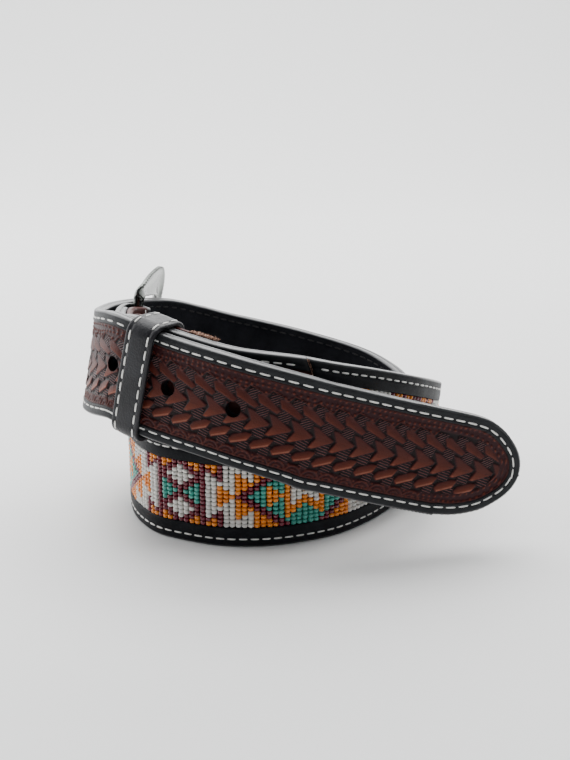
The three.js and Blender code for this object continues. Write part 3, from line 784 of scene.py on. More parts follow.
# Corners of the stamped shapes round the point of one arrowhead, as length and height across.
UPPER_LEAF = [(-6.0, 8.9), (-3.8, 9.5), (2.9, 5.2), (1.7, 4.0), (-4.8, 6.3)]
CHEVRON_TOP = [(-8.2, 3.2), (-6.2, 3.0), (0.1, -0.2), (-0.4, -1.0), (-5.9, -1.0)]
CHEVRON_BOTTOM = [(-5.9, 0.0), (0.1, -0.2), (-0.2, -0.9), (-6.8, -4.2), (-8.1, -4.1)]
LOWER_LEAF = [(-5.0, -9.2), (-3.9, -10.4), (1.4, -8.0), (2.9, -5.3), (0.6, -5.3), (-3.8, -7.4)]
# Stamped shapes: corners, slope of the axis, its height at the point, thickness.
STAMPS = [
    (UPPER_LEAF, -0.42, 5.3, 3.4), (CHEVRON_TOP, 0, -0.6, 7.6), (CHEVRON_BOTTOM, 0, -0.6, 7.6),
    (LOWER_LEAF, 0.46, -6.6, 3.0),
]
# Hatched squares. Columns: length, height across, half size, slope of the hatching.
HATCH_SQUARES = [
    (0.3, 8.6, 1.9, 0.7), (-3.1, 3.6, 2.1, 0.7), (-2.8, -4.0, 2.1, -0.16), (0.4, -9.9, 1.8, -0.16),
]
HATCH_PITCH = 0.95
STAMP_GROWTH = 0.22
HATCH_LEAN = 0.2
# Raised zigzag above the leaves. Columns: length from the arrowhead, distance from the margin.
ZIGZAG = np.array([(-3.0, 5.6), (-1.3, 3.2), (2.3, 4.5), (4.57, 5.6)])
LOWER_BORDER = 3.3
TIP_BORDER = 3.6
GROUND = -0.7
SEED_PITCH = 2.05
SEED_RADIUS = 0.46
SCALLOP_PITCH = 6.2
SCALLOP_RADIUS = 3.0


def inside_distance(x, y, corners):
    """Distance outside a convex shape, negative inside."""
    corners = np.array(corners, dtype=float)
    middle = corners.mean(axis=0)
    order = np.argsort(np.arctan2(corners[:, 1] - middle[1], corners[:, 0] - middle[0]))
    corners = corners[order]
    result = np.full(np.shape(x), -1e9)
    for start, end in zip(corners, np.roll(corners, -1, axis=0)):
        edge = end - start
        normal = np.array([edge[1], -edge[0]]) / np.hypot(*edge)
        result = np.maximum(result, (x - start[0]) * normal[0] + (y - start[1]) * normal[1])
    return result


def stamped_shapes(cell, across):
    """Height and tone of the leaves and arrowheads, which rise towards their lower edges; the tone paints their
    light and shade.
    """
    height = np.full(cell.shape, GROUND)
    tone = np.full(cell.shape, 0.0)
    for shift in (-CELL, 0, CELL):
        x = cell - shift
        for corners, slope, middle, thickness in STAMPS:
            distance = inside_distance(x, across, corners) - STAMP_GROWTH
            weight = smooth_step(0.55 - distance / 0.4)
            fall = np.clip(0.5 - (across - middle - slope * x) / thickness, 0, 1)
            level = GROUND + weight * (0.2 + 0.5 * fall)
            # Painted light: each shape darkens to black at its cut outline, which is painted shade, and grows
            # lighter towards its lower edge, which is a painted highlight where the slope faces the overhead
            # light.
            shade = smooth_step(-distance / 0.4) * (0.42 + 0.58 * fall ** 2)
            better = level > height
            tone = np.where(better, np.maximum(tone, shade), tone)
            height = np.maximum(height, level)
    return height, tone


def hatched_squares(cell, length, across):
    """How strongly each point is hatched, and where it lies in the run of the hatching."""
    hatch = np.zeros(cell.shape)
    phase = np.zeros(cell.shape)
    for shift in (-CELL, 0, CELL):
        x = cell - shift
        for middle, level, half, slope in HATCH_SQUARES:
            rise = across - level
            side = np.maximum(np.abs(x - middle - HATCH_LEAN * rise), np.abs(rise)) - half
            weight = smooth_step(0.5 - side / 0.3)
            nearer = weight > hatch
            phase = np.where(nearer, (across - slope * length) / HATCH_PITCH, phase)
            hatch = np.maximum(hatch, weight)
    return hatch, phase


def seeds(length, border):
    """Height of the small round punches that fill the border."""
    pitch_across = SEED_PITCH * 0.86
    row = np.floor(border / pitch_across)
    along = length / SEED_PITCH + 0.5 * np.mod(row, 2)
    wobble = 0.3 * np.sin(12.9898 * np.floor(along) + 78.233 * row)
    x = (along - np.floor(along) - 0.5 + wobble) * SEED_PITCH
    y = (border / pitch_across - row - 0.5 + 0.6 * wobble) * pitch_across
    return smooth_step(1.3 - np.hypot(x, y) / SEED_RADIUS)


def tooling(length, across, inset, near_tip):
    """Height, tone, hatching and dye of the stamped leather, inset millimetres from the edge."""
    border = inset - BILLET_MARGIN
    cell = np.mod(length - (STRAP_LENGTH - CHEVRON_BACK) + 3.0, CELL) - 3.0
    height, tone = stamped_shapes(cell, across)
    hatch, phase = hatched_squares(cell, length, across)
    free = height < GROUND + 0.12
    hatch = np.where(free, hatch, 0)
    height = np.where(free, np.maximum(height, GROUND + 0.3 * hatch), height)

    seed = seeds(length, border)
    zigzag = np.interp(cell, ZIGZAG[:, 0], ZIGZAG[:, 1])
    zigzag = np.where(near_tip, np.minimum(zigzag, TIP_BORDER), zigzag)
    lower_side = (across < 0) & ~near_tip
    limit = np.where(lower_side, LOWER_BORDER, zigzag)
    in_border = 1 - smooth_step((border - limit) / 0.3 + 0.5)
    seeds_height = -0.5 + 0.42 * seed
    seeds_tone = 0.14 + 0.72 * seed
    arc_x = np.mod(length + 1.5, SCALLOP_PITCH) - SCALLOP_PITCH / 2
    radius = np.hypot(arc_x, border)
    arc = np.exp(-(((radius - SCALLOP_RADIUS) / 0.3) ** 2))
    inner_arc = np.exp(-(((radius - 0.55 * SCALLOP_RADIUS) / 0.26) ** 2))
    arcs = np.maximum(arc, 0.8 * inner_arc)
    border_height = np.where(lower_side, np.maximum(seeds_height - 0.1, -0.5 + 0.45 * arcs), seeds_height)
    border_tone = np.where(lower_side, np.maximum(0.8 * seeds_tone, 0.14 + 0.4 * arcs), seeds_tone)
    height = height * (1 - in_border) + border_height * in_border
    tone = tone * (1 - in_border) + border_tone * in_border
    hatch = hatch * (1 - in_border)
    line = np.exp(-(((border - limit) / 0.22) ** 2)) * ~lower_side * ~near_tip
    height = np.maximum(height, GROUND + 0.65 * line)
    tone = np.maximum(tone, 0.7 * line)

    # smooth rim and cut line next to the dyed margin
    rim = smooth_step(1 - np.abs(border - 0.35) / 0.4)
    height = height * (1 - rim) - 0.05 * rim
    tone = tone * (1 - rim) + 0.44 * rim
    cut_line = np.exp(-((border / 0.16) ** 2))
    in_field = border > 0
    height = np.where(in_field, height, 0.0) - 0.28 * cut_line
    tone = np.where(in_field, tone, 0.2)
    dye = 1 - smooth_step(border / 0.2 + 0.5)
    return height, tone, hatch * in_field, phase, dye


BILLET_STEP = 0.37
FIELD_COLUMNS = 82
MARGIN_INSETS = np.array([0, 0.05, 0.18, 0.4, 0.8, 1.4, 2.0, 2.4, 2.65, 2.9, 3.15, 3.4, 3.8, 4.1, 4.25, 4.4])


def outline_insets(lengths, across):
    """Distance from points near the tip to the strap's outline."""
    trace = np.concatenate([lengths_between(STRAP_LENGTH - 60, STRAP_LENGTH - 27, 0.5), tip_lengths(160)])
    upper, lower = tip_edges(trace)
    edge = np.concatenate([np.stack([trace, upper], 1), np.stack([trace, lower], 1)])
    result = np.empty(lengths.shape)
    for row in range(lengths.shape[0]):
        gaps = np.hypot(lengths[row][:, None] - edge[None, :, 0], across[row][:, None] - edge[None, :, 1])
        result[row] = gaps.min(axis=1)
    return result


def punch(piece, depth_from, depth_to):
    """Cuts the adjusting holes through a piece."""
    turn = np.arange(HOLE_SIDES) * 2 * math.pi / HOLE_SIDES
    points = []
    faces = []
    for index in range(HOLE_COUNT):
        length = STRAP_LENGTH - TIP_TO_HOLE - index * HOLE_PITCH
        centre, along, up, out = frames_at(length)
        centre = centre + up * HOLE_RISE
        ring = (np.cos(turn)[:, None] * along + np.sin(turn)[:, None] * up) * HOLE_DIAMETER / 2
        start = len(points) * HOLE_SIDES
        points += [centre + ring - out * depth_from, centre + ring - out * depth_to]
        faces += [tuple(start + corner for corner in face) for face in loop_faces(2, HOLE_SIDES)]
    mesh = bpy.data.meshes.new("punch")
    mesh.from_pydata(to_metres(np.array(points)).tolist(), [], faces)
    face_outward(mesh)
    tone = mesh.attributes.new("tone", "FLOAT", "POINT")
    tone.data.foreach_set("value", np.full(len(mesh.vertices), HOLE_TONE, dtype=np.float32))
    tool = bpy.data.objects.new("punch", mesh)
    bpy.context.scene.collection.objects.link(tool)
    cut = piece.modifiers.new("punch", "BOOLEAN")
    cut.operation = "DIFFERENCE"
    cut.solver = "MANIFOLD"
    cut.object = tool
    graph = bpy.context.evaluated_depsgraph_get()
    done = bpy.data.meshes.new_from_object(piece.evaluated_get(graph))
    piece.modifiers.remove(cut)
    piece.data = done
    bpy.data.objects.remove(tool)


def build_billet():
    straight = lengths_between(BILLET_START, STRAP_LENGTH - TIP_OUTLINE[0, 0], BILLET_STEP)[:-1]
    lengths = np.concatenate([straight, tip_lengths(90)])
    upper, lower = tip_edges(lengths)
    width = upper - lower
    share = np.minimum(1, width / STRAP_WIDTH)[:, None]
    insets = MARGIN_INSETS[None, :] * share
    inner = np.linspace(0, 1, FIELD_COLUMNS + 2)[1:-1][None, :]
    low = lower[:, None] + insets[:, -1:]
    high = upper[:, None] - insets[:, -1:]
    field = low + (high - low) * inner
    across = np.hstack([lower[:, None] + insets, field, (upper[:, None] - insets)[:, ::-1]])
    at = np.repeat(lengths[:, None], across.shape[1], axis=1)
    inset = np.minimum(upper[:, None] - across, across - lower[:, None])
    near = lengths > STRAP_LENGTH - 45
    inset[near] = outline_insets(at[near], across[near])
    near_tip = np.repeat((lengths > STRAP_LENGTH - 34)[:, None], across.shape[1], axis=1)
    relief, tone, hatch, phase, dye = tooling(at, across, inset, near_tip)
    crown = 0.12 * np.exp(-(((inset - 3.8) / 0.8) ** 2)) * (inset < BILLET_MARGIN)
    depth = edge_depth(inset) - relief - crown
    skin = place(at, across, depth)
    back = place(lengths[:, None], np.stack([upper - 0.02, lower + 0.02], 1), OVERLAY_THICKNESS)
    points = np.concatenate([skin, back], axis=1)
    rows, columns = points.shape[:2]

    def pad(grid, fill):
        return np.hstack([grid, np.full((rows, 2), fill)])

    strap_map = np.stack([pad(at, 0), pad(across, 0)], -1).reshape(-1, 2)
    values = {"tone": pad(tone, 0.2), "hatch": pad(hatch, 0), "phase": pad(phase, 0), "dye": pad(dye, 1),
              "edge": pad(edge_share(inset), 1)}
    piece = add_piece("billet_tooling", points.reshape(-1, 3), loop_faces(rows, columns), TOOLED,
                      ("billet_overlay",), values, strap_map)
    punch(piece, -3, OVERLAY_THICKNESS + 1)


# Buckle tab folded round the heel bar

def inner_run_depth(length):
    swell = OVERLAY_THICKNESS + 2 * FOLD_RADIUS - INNER_RUN
    share = np.clip((length - BAR_STATION) / (LINER_START - BAR_STATION), 0, 1)
    return INNER_RUN + swell * (1 - smooth_step(share))


def tab_rows():
    """Rows from the raw end inside, round the bar, to the seam: skin and flesh lengths and depths."""
    inner = lengths_between(BAR_STATION, TAB_END, 1.5)[1:][::-1]
    rows = []
    for s in inner:
        depth = inner_run_depth(s)
        rows.append((s, depth + OVERLAY_THICKNESS, s, depth, 0, s <= SLOT_END))
    centre = OVERLAY_THICKNESS + FOLD_RADIUS
    for turn in np.linspace(0, math.pi, 14):
        wide = FOLD_RADIUS + OVERLAY_THICKNESS
        rows.append((
            BAR_STATION - wide * math.sin(turn), centre + wide * math.cos(turn),
            BAR_STATION - FOLD_RADIUS * math.sin(turn), centre + FOLD_RADIUS * math.cos(turn), 0, True,
        ))
    outer = lengths_between(BAR_STATION, BODY_START - 0.25, 1.5)[1:]
    seam_from = outer[-1] - 14
    for s in outer:
        follow = max(0.0, (s - seam_from) / 14)
        rows.append((s, 0, s, OVERLAY_THICKNESS, follow, s < SLOT_END))
    return rows


def build_tab():
    rows = tab_rows()
    insets = np.concatenate([EDGE_INSETS, [4.5, BILLET_MARGIN, 5.1]])
    middle = np.array([-9, -SLOT_HALF_WIDTH, 0, SLOT_HALF_WIDTH, 9])
    across = np.concatenate([-HALF_WIDTH + insets, middle, (HALF_WIDTH - insets)[::-1]])
    inset = HALF_WIDTH - np.abs(across)
    table = np.array([row[:5] for row in rows], dtype=float)
    in_slot = [row[5] for row in rows]
    shift = table[:, 4:5] * seam_shift(across)[None, :]
    profile = edge_depth(inset) + 0.3 * np.exp(-(((inset - BILLET_MARGIN) / 0.2) ** 2))
    facing = np.sign(table[:, 3] - table[:, 1] + 1e-9)[:, None]
    skin = place(table[:, 0:1] + shift, across[None, :], table[:, 1:2] + profile[None, :] * facing)
    flesh = place(table[:, 2:3] + shift, across[None, :], table[:, 3:4])
    first = len(insets)

    def filled(row, column):
        return not (in_slot[row] and first + 1 <= column < first + 3)

    faces = strip_faces(len(rows), len(across), filled)
    points = np.concatenate([skin.reshape(-1, 3), flesh.reshape(-1, 3)])
    tone = np.broadcast_to(0.42 + 0 * across, (len(rows), len(across)))
    dye = np.broadcast_to(1 - smooth_step((inset - BILLET_MARGIN) / 0.4 + 0.5), tone.shape)
    inner_side = np.arange(len(rows)) < 54
    raw = np.where(inner_side[:, None], 0.0, dye)
    values = {
        "tone": np.concatenate([tone.ravel(), tone.ravel()]),
        "hatch": np.zeros(2 * tone.size),
        "phase": np.zeros(2 * tone.size),
        "edge": np.tile((edge_share(inset) * (1 - inner_side[:, None])).ravel(), 2),
        "dye": np.concatenate([raw.ravel(), raw.ravel()]),
    }
    spots = (np.broadcast_to(table[:, 0:1], tone.shape), np.broadcast_to(across, tone.shape))
    strap_map = np.stack(spots, -1)
    strap_map = np.concatenate([strap_map.reshape(-1, 2)] * 2)
    kept = drop_unused(points, faces, strap_map, *values.values())
    values = dict(zip(values, kept[3:]))
    add_piece("tab_leather", kept[0], kept[1], TOOLED, ("buckle_tab",), values, kept[2])


# Stitches

STITCH_SIDES = 8
STITCH_RADIUS = 0.33
# Profile of a stitch. Columns: share of the half length, share of the radius.
STITCH_PROFILE = np.array([
    (-1, 0.12), (-0.96, 0.5), (-0.82, 0.85), (-0.4, 1), (0.4, 1), (0.82, 0.85), (0.96, 0.5), (1, 0.12),
])


def stitch_points(centres, directions, normals, half_length, radius):
    """Points and faces of one fused row of short thread loops."""
    directions = directions / np.linalg.norm(directions, axis=1)[:, None]
    side = np.cross(directions, normals)
    side /= np.linalg.norm(side, axis=1)[:, None]
    normals = np.cross(side, directions)
    turn = np.arange(STITCH_SIDES) * 2 * math.pi / STITCH_SIDES
    along = np.repeat(STITCH_PROFILE[:, 0], STITCH_SIDES) * half_length
    arch = -0.14 * (np.repeat(STITCH_PROFILE[:, 0], STITCH_SIDES) ** 4)
    radii = np.repeat(STITCH_PROFILE[:, 1], STITCH_SIDES) * radius
    across = np.tile(np.cos(turn), len(STITCH_PROFILE)) * radii
    height = np.tile(np.sin(turn), len(STITCH_PROFILE)) * radii * 0.8 + arch
    points = (
        centres[:, None, :] + directions[:, None, :] * along[None, :, None]
        + side[:, None, :] * across[None, :, None] + normals[:, None, :] * height[None, :, None]
    )
    faces = loop_faces(len(STITCH_PROFILE), STITCH_SIDES)
    return points.reshape(-1, 3), repeated_faces(faces, points.shape[1], len(centres))


def trace_stitches(trace, pitch, depth, half_length, outward=1):
    """Stitches along a trace of lengths and heights across, on the outer face or the back."""
    trace = np.asarray(trace, dtype=float)
    steps = np.hypot(*np.diff(trace, axis=0).T)
    reach = np.concatenate([[0], np.cumsum(steps)])
    count = int(reach[-1] // pitch)
    marks = (np.arange(count) + 0.5) * pitch
    length = np.interp(marks, reach, trace[:, 0])
    across = np.interp(marks, reach, trace[:, 1])
    ahead, behind = (
        np.stack([np.interp(marks + step, reach, trace[:, axis]) for axis in (0, 1)], 1) for step in (0.5, -0.5)
    )
    centres = place(length, across, depth)
    directions = place(ahead[:, 0], ahead[:, 1], depth) - place(behind[:, 0], behind[:, 1], depth)
    out = frames_at(length)[3]
    return stitch_points(centres, directions, out * outward, half_length, STITCH_RADIUS)


def join_parts(parts):
    points = []
    faces = []
    start = 0
    for part_points, part_faces in parts:
        points.append(part_points)
        faces += [tuple(index + start for index in face) for face in part_faces]
        start += len(part_points)
    return np.concatenate(points), faces


def billet_trace():
    """Stitch line along the billet, round its point and back."""
    bend = tip_lengths(120)
    straight = lengths_between(BILLET_START + 1, STRAP_LENGTH - TIP_OUTLINE[0, 0], 1.0)[:-1]
    lengths = np.concatenate([straight, bend])
    upper, lower = tip_edges(lengths)
    outline = np.concatenate([np.stack([lengths, upper], 1), np.stack([lengths, lower], 1)[::-1]])
    tangent = np.gradient(outline, axis=0)
    tangent /= np.maximum(np.hypot(*tangent.T), 1e-6)[:, None]
    inward = np.stack([tangent[:, 1], -tangent[:, 0]], 1)
    moved = outline + inward * STITCH_INSET
    gaps = outline_insets(moved[:, None, 0], moved[:, None, 1])[:, 0]
    far = moved[:, 0] < STRAP_LENGTH - 55
    return moved[far | (gaps > STITCH_INSET - 0.12)]


def build_stitches():
    line = HALF_WIDTH - STITCH_INSET
    surface = 0.1
    body = []
    for across in (line, -line):
        start = BODY_START + 4.2
        trace = [(start, across), (BILLET_START - 1, across)]
        body.append(trace_stitches(trace, STITCH_PITCH_BODY, surface, 1.55))
        tab = [(BAR_STATION + 4, across), (BODY_START - 1.2, across)]
        body.append(trace_stitches(tab, STITCH_PITCH_BODY, surface, 1.55))
    points, faces = join_parts(body)
    add_piece("stitching_body", points, faces, WHITE_THREAD)
    points, faces = trace_stitches(billet_trace(), STITCH_PITCH_BILLET, surface, 1.85)
    add_piece("stitching_billet", points, faces, WHITE_THREAD)
    back = []
    for across in (line, -line):
        trace = [(TAB_END + 2, across), (STRAP_LENGTH - 30, across)]
        back.append(trace_stitches(trace, STITCH_PITCH_BODY, STRAP_THICKNESS - 0.12, 1.5, -1))
    points, faces = join_parts(back)
    add_piece("stitching_back", points, faces, BLACK_THREAD)


# Keeper

def keeper_axes():
    centre, _, up, out = frames_at(KEEPER_STATION)
    inward = -out
    side = np.cross(inward, up)
    angle = math.radians(KEEPER_UPRIGHT)

    def turned(vector):
        return vector * math.cos(angle) + np.cross(side, vector) * math.sin(angle)

    return centre, turned(inward), turned(up), side


def keeper_loop(count):
    """Points and outward directions round the keeper, in its section plane, on its inside face."""
    box = KEEPER_INSIDE
    radius = KEEPER_CORNER
    corners = [
        (box["back"] - radius, box["upper"] - radius, 0),
        (box["front"] + radius, box["upper"] - radius, 90),
        (box["front"] + radius, box["lower"] + radius, 180),
        (box["back"] - radius, box["lower"] + radius, 270),
    ]
    points = []
    normals = []
    for x, y, start in corners:
        for turn in np.radians(np.linspace(start, start + 90, 9)):
            points.append((x + radius * math.cos(turn), y + radius * math.sin(turn)))
            normals.append((math.cos(turn), math.sin(turn)))
    points = np.array(points + points[:1])
    normals = np.array(normals + normals[:1])
    steps = np.hypot(*np.diff(points, axis=0).T)
    reach = np.concatenate([[0], np.cumsum(steps)])
    marks = np.linspace(0, reach[-1], count, endpoint=False)

    def pick(table):
        return np.stack([np.interp(marks, reach, table[:, axis]) for axis in (0, 1)], 1)

    found = pick(normals)
    return pick(points), found / np.hypot(*found.T)[:, None], reach[-1]


def keeper_bow(points):
    """The long front and back swell slightly, as leather bent round a stack does."""
    middle = (KEEPER_INSIDE["upper"] + KEEPER_INSIDE["lower"]) / 2
    half = (KEEPER_INSIDE["upper"] - KEEPER_INSIDE["lower"]) / 2
    share = np.clip(1 - ((points[:, 1] - middle) / half) ** 2, 0, 1)
    return 0.5 * share


def build_keeper():
    centre, inward, up, side = keeper_axes()
    half = KEEPER_WIDTH / 2
    insets = np.array([0, 0.06, 0.2, 0.45, 0.8, 1.4, 1.9, 2.2, 2.5, 2.8, 3.1, 3.8, 5.2])
    edge = np.concatenate([-half + insets, (half - insets)[::-1]])
    inset = half - np.abs(edge)
    rounding = 0.6
    near = np.clip(rounding - inset, 0, rounding)
    drop = rounding - np.sqrt(rounding ** 2 - near ** 2)
    groove = 0.25 * np.exp(-(((inset - KEEPER_STITCH_INSET) / 0.4) ** 2))
    drop = drop + groove - 0.12 * smooth_step(inset / half)
    loop, normals, around = keeper_loop(KEEPER_SAMPLES)
    bow = keeper_bow(loop)
    lift = KEEPER_THICKNESS + bow[:, None] - drop[None, :]
    outer = loop[:, None, :] + normals[:, None, :] * lift[..., None]
    inner_edge = np.array([half - 0.05, 0, -half + 0.05])
    inner = np.repeat(loop[:, None, :] + normals[:, None, :] * bow[:, None, None], 3, axis=1)
    plane = np.concatenate([outer, inner], axis=1)
    width = np.concatenate([edge, inner_edge])
    points = centre + plane[..., 0:1] * inward + plane[..., 1:2] * up + width[None, :, None] * side
    rows, columns = plane.shape[:2]
    add_piece("keeper_band", points.reshape(-1, 3), loop_faces(rows, columns, closed_rows=True), KEEPER_BLACK,
              ("keeper",))
    parts = []
    count = int(around // STITCH_PITCH_BILLET)
    marks = (np.arange(count) + 0.25) / count * KEEPER_SAMPLES
    picks = marks.astype(int)
    for row in (-1, 1):
        offset = row * (half - KEEPER_STITCH_INSET)
        flat = loop + normals * (KEEPER_THICKNESS + bow - 0.02)[:, None]
        line = centre + flat[:, 0:1] * inward + flat[:, 1:2] * up + offset * side
        out = normals[:, 0:1] * inward + normals[:, 1:2] * up
        ahead = np.roll(line, -2, axis=0) - np.roll(line, 2, axis=0)
        parts.append(stitch_points(line[picks], ahead[picks], out[picks], 1.75, STITCH_RADIUS))
    points, faces = join_parts(parts)
    add_piece("stitching_keeper", points, faces, WHITE_THREAD)


# Buckle

def buckle_axes():
    bar = place(BAR_STATION, 0, OVERLAY_THICKNESS - 0.1 + FOLD_RADIUS)
    reach = place(FRAME_REACH_STATION, 0, -FRAME_STAND_OFF)
    across = frames_at(BAR_STATION)[2]
    along = reach - bar
    along = along - across * along.dot(across)
    along /= np.linalg.norm(along)
    return bar, along, across, np.cross(across, along)


def closed_curve(points, count):
    """Smooth closed curve through points."""
    spans = np.sqrt(np.linalg.norm(np.roll(points, -1, axis=0) - points, axis=1))
    size = len(points)
    result = []
    for mark in np.linspace(0, size, count, endpoint=False):
        row = int(mark)
        t = mark - row
        a, b, c, d = (points[(row + step) % size] for step in (-1, 0, 1, 2))
        before, here, after = spans[(row - 1) % size], spans[row], spans[(row + 1) % size]
        start = ((b - a) / before - (c - a) / (before + here) + (c - b) / here) * here
        end = ((c - b) / here - (d - b) / (here + after) + (d - c) / after) * here
        square = -3 * b + 3 * c - 2 * start - end
        cube = 2 * b - 2 * c + start + end
        result.append(b + t * (start + t * (square + t * cube)))
    return np.array(result)


def build_buckle_frame():
    bar, along, across, out = buckle_axes()
    mirrored = FRAME_OUTLINE[1:-1][::-1] * np.array([1, -1, 1, -1])
    outline = np.concatenate([FRAME_OUTLINE, mirrored])
    count = RIM_SAMPLES
    outer = closed_curve(outline[:, :2], count)
    inner = closed_curve(outline[:, 2:], count)
    reach = np.concatenate([[0], np.cumsum(np.hypot(*np.diff(outer, axis=0).T))])
    on_frame = smooth_step(((outer + inner)[:, 0] / 2 - 1) / 5)[:, None]
    shares = np.linspace(0, 1, 12)
    swell = np.sin(math.pi * shares)[None, :]
    top = RIM_EDGE + (RIM_CREST - RIM_EDGE) * swell ** 0.8
    hollow = -RIM_EDGE + (RIM_HOLLOW + RIM_EDGE) * swell
    bottom = -top * (1 - on_frame) + hollow * on_frame
    section_share = np.concatenate([shares, [1.06, 1.06], shares[::-1], [-0.06, -0.06]])
    rise = np.hstack([
        np.broadcast_to(top, (count, 12)), np.tile([0.45, -0.45], (count, 1)),
        bottom[:, ::-1], np.tile([-0.45, 0.45], (count, 1)),
    ])
    lip = np.broadcast_to(section_share, rise.shape)
    flat = inner[:, None, :] * lip[..., None] + outer[:, None, :] * (1 - lip[..., None])
    rope = 0.5 + 0.5 * np.cos(2 * math.pi * (reach[:, None] / ROPE_PITCH + rise * 0.22))
    near_outer = np.exp(-((lip / 0.16) ** 2)) * on_frame
    spread = flat - inner[:, None, :]
    spread /= np.maximum(np.hypot(spread[..., 0], spread[..., 1]), 1e-6)[..., None]
    flat = flat + spread * (ROPE_RELIEF * rope * near_outer)[..., None]
    rise = rise + 0.5 * ROPE_RELIEF * rope * near_outer * np.sign(rise)
    widest = FRAME_OUTLINE[:, 1].max()
    dome = FRAME_DOME * (flat[..., 1] / widest) ** 2 * on_frame
    points = (
        bar + flat[..., 0:1] * along + (flat[..., 1:2] + FRAME_RISE) * across + (rise - dome)[..., None] * out
    )
    rows, columns = rise.shape
    add_piece("buckle_rim", points.reshape(-1, 3), loop_faces(rows, columns, closed_rows=True), SILVER,
              ("buckle_frame",))


def open_curve(points, count):
    knots = np.sqrt(np.linalg.norm(np.diff(points, axis=0), axis=1))
    marks = np.linspace(0, len(points) - 1, count)
    rows = np.minimum(marks.astype(int), len(points) - 2)
    return np.array([spline_value(points, knots, row, mark - row) for row, mark in zip(rows, marks)])


def tube(points, radii, sides=12):
    """Closed round tube along points."""
    tangents = np.gradient(points, axis=0)
    tangents /= np.linalg.norm(tangents, axis=1)[:, None]
    normal = np.cross(tangents[0], [0.3, 0.2, 0.9])
    rings = []
    turn = np.arange(sides) * 2 * math.pi / sides
    for point, tangent, radius in zip(points, tangents, radii):
        normal = normal - tangent * normal.dot(tangent)
        normal /= np.linalg.norm(normal)
        other = np.cross(tangent, normal)
        rings.append(point + radius * (np.cos(turn)[:, None] * normal + np.sin(turn)[:, None] * other))
    return np.concatenate(rings), loop_faces(len(points), sides)


def build_prong():
    bar, along, across, out = buckle_axes()

    def on_frame(a, n):
        return bar + along * a + across * HOLE_RISE + out * n

    hole = STRAP_LENGTH - TIP_TO_HOLE - PRONG_HOLE * HOLE_PITCH
    inside = STRAP_THICKNESS + PRONG_RADIUS + PRONG_GAP
    resting = RIM_CREST + PRONG_RADIUS + PRONG_GAP
    path = np.array([
        on_frame(FRAME_OUTLINE[0, 2] + PRONG_RADIUS + PRONG_GAP, 0),
        place(hole + PRONG_BEND, HOLE_RISE, inside),
        place(hole, HOLE_RISE, STRAP_THICKNESS + PRONG_EASE),
        place(hole, HOLE_RISE, -PRONG_EASE),
        place(hole - PRONG_BEND, HOLE_RISE, -(PRONG_RADIUS + PRONG_GAP)),
        on_frame(FRAME_OUTLINE[-1, 2], resting),
        on_frame(FRAME_OUTLINE[-1, 0], resting),
    ])
    line = open_curve(path, 90)
    share = np.linspace(0, 1, 90)
    radii = PRONG_RADIUS * np.minimum(1, np.sqrt(np.clip((1 - share) / 0.035, 0.02, 1)))
    radii[0] = PRONG_RADIUS * 0.6
    points, faces = tube(line, radii, 16)
    turn = np.linspace(0, 2 * math.pi, 40, endpoint=False)
    ring = np.array([on_frame(RING_RADIUS * math.cos(a), RING_RADIUS * math.sin(a)) for a in turn])
    band = []
    for a, point in zip(turn, ring):
        outward = along * math.cos(a) + out * math.sin(a)
        for width, lift in RING_SECTION:
            band.append(point + across * width + outward * lift)
    parts = [(points, faces), (np.array(band), loop_faces(40, 6, closed_rows=True))]
    joined, joined_faces = join_parts(parts)
    add_piece("prong", joined, joined_faces, SILVER, ("buckle_prong",))


# Small things: raw fibres, cut edges, a loose thread end

FIBRE_COUNT = 260


def build_fibres():
    """Fuzzy raw leather along the top of the tab's inner end."""
    random = np.random.default_rng(SEED)
    parts = []
    top = HALF_WIDTH - 0.25
    for _ in range(FIBRE_COUNT):
        length = TAB_END - abs(random.normal(0, 4.2))
        depth = INNER_RUN + random.random() * (OVERLAY_THICKNESS + 0.2)
        root = place(length, top - 0.15, depth)
        _, along, up, out = frames_at(length)
        lean = random.normal(0, 1, 3)
        reach = 0.6 + 0.8 * random.random()
        rise = up * reach * (0.5 + 0.4 * random.random())
        tip = root + rise + along * 0.7 * lean[0] * reach - out * 0.45 * lean[1] * reach
        bend = (root + tip) / 2 + along * 0.15 * lean[2] + up * 0.1
        line = open_curve(np.array([root, bend, tip]), 5)
        parts.append(tube(line, np.array([0.12, 0.13, 0.11, 0.08, 0.03]), 5))
    points, faces = join_parts(parts)
    add_piece("raw_fibres", points, faces, RAW)
    lengths = lengths_between(TAB_END - 11, TAB_END - 0.1, 0.35)
    across = np.linspace(0, 1, 5)
    rows = len(lengths)
    lumps = random.random((rows, 5)) * 0.8
    depth = INNER_RUN + 0.05 + across * (OVERLAY_THICKNESS + 0.1)
    skin = place(lengths[:, None], top + 0.05 + lumps, depth[None, :])
    flesh = place(lengths[:, None], top - 0.4, depth[None, :])
    faces = strip_faces(rows, 5, lambda row, column: True)
    points = np.concatenate([skin.reshape(-1, 3), flesh.reshape(-1, 3)])
    add_piece("raw_edge", points, faces, RAW)


def build_seam_edges():
    """Cut edges of both leathers where they meet at the seam."""
    random = np.random.default_rng(SEED)
    parts = []
    across = np.linspace(-HALF_WIDTH + 0.3, HALF_WIDTH - 0.3, 90)
    for shift, radius in ((-SEAM_EDGE_SHIFT, 0.16), (SEAM_EDGE_SHIFT, 0.13)):
        length = BODY_START + seam_shift(across) + shift + random.normal(0, 0.05, len(across))
        depth = edge_depth(HALF_WIDTH - np.abs(across)) + 0.03 + random.normal(0, 0.03, len(across))
        radii = radius * (1 + random.normal(0, 0.15, len(across)))
        parts.append(tube(place(length, across, depth), radii, 6))
    points, faces = join_parts(parts)
    add_piece("seam_edge", points, faces, RAW)


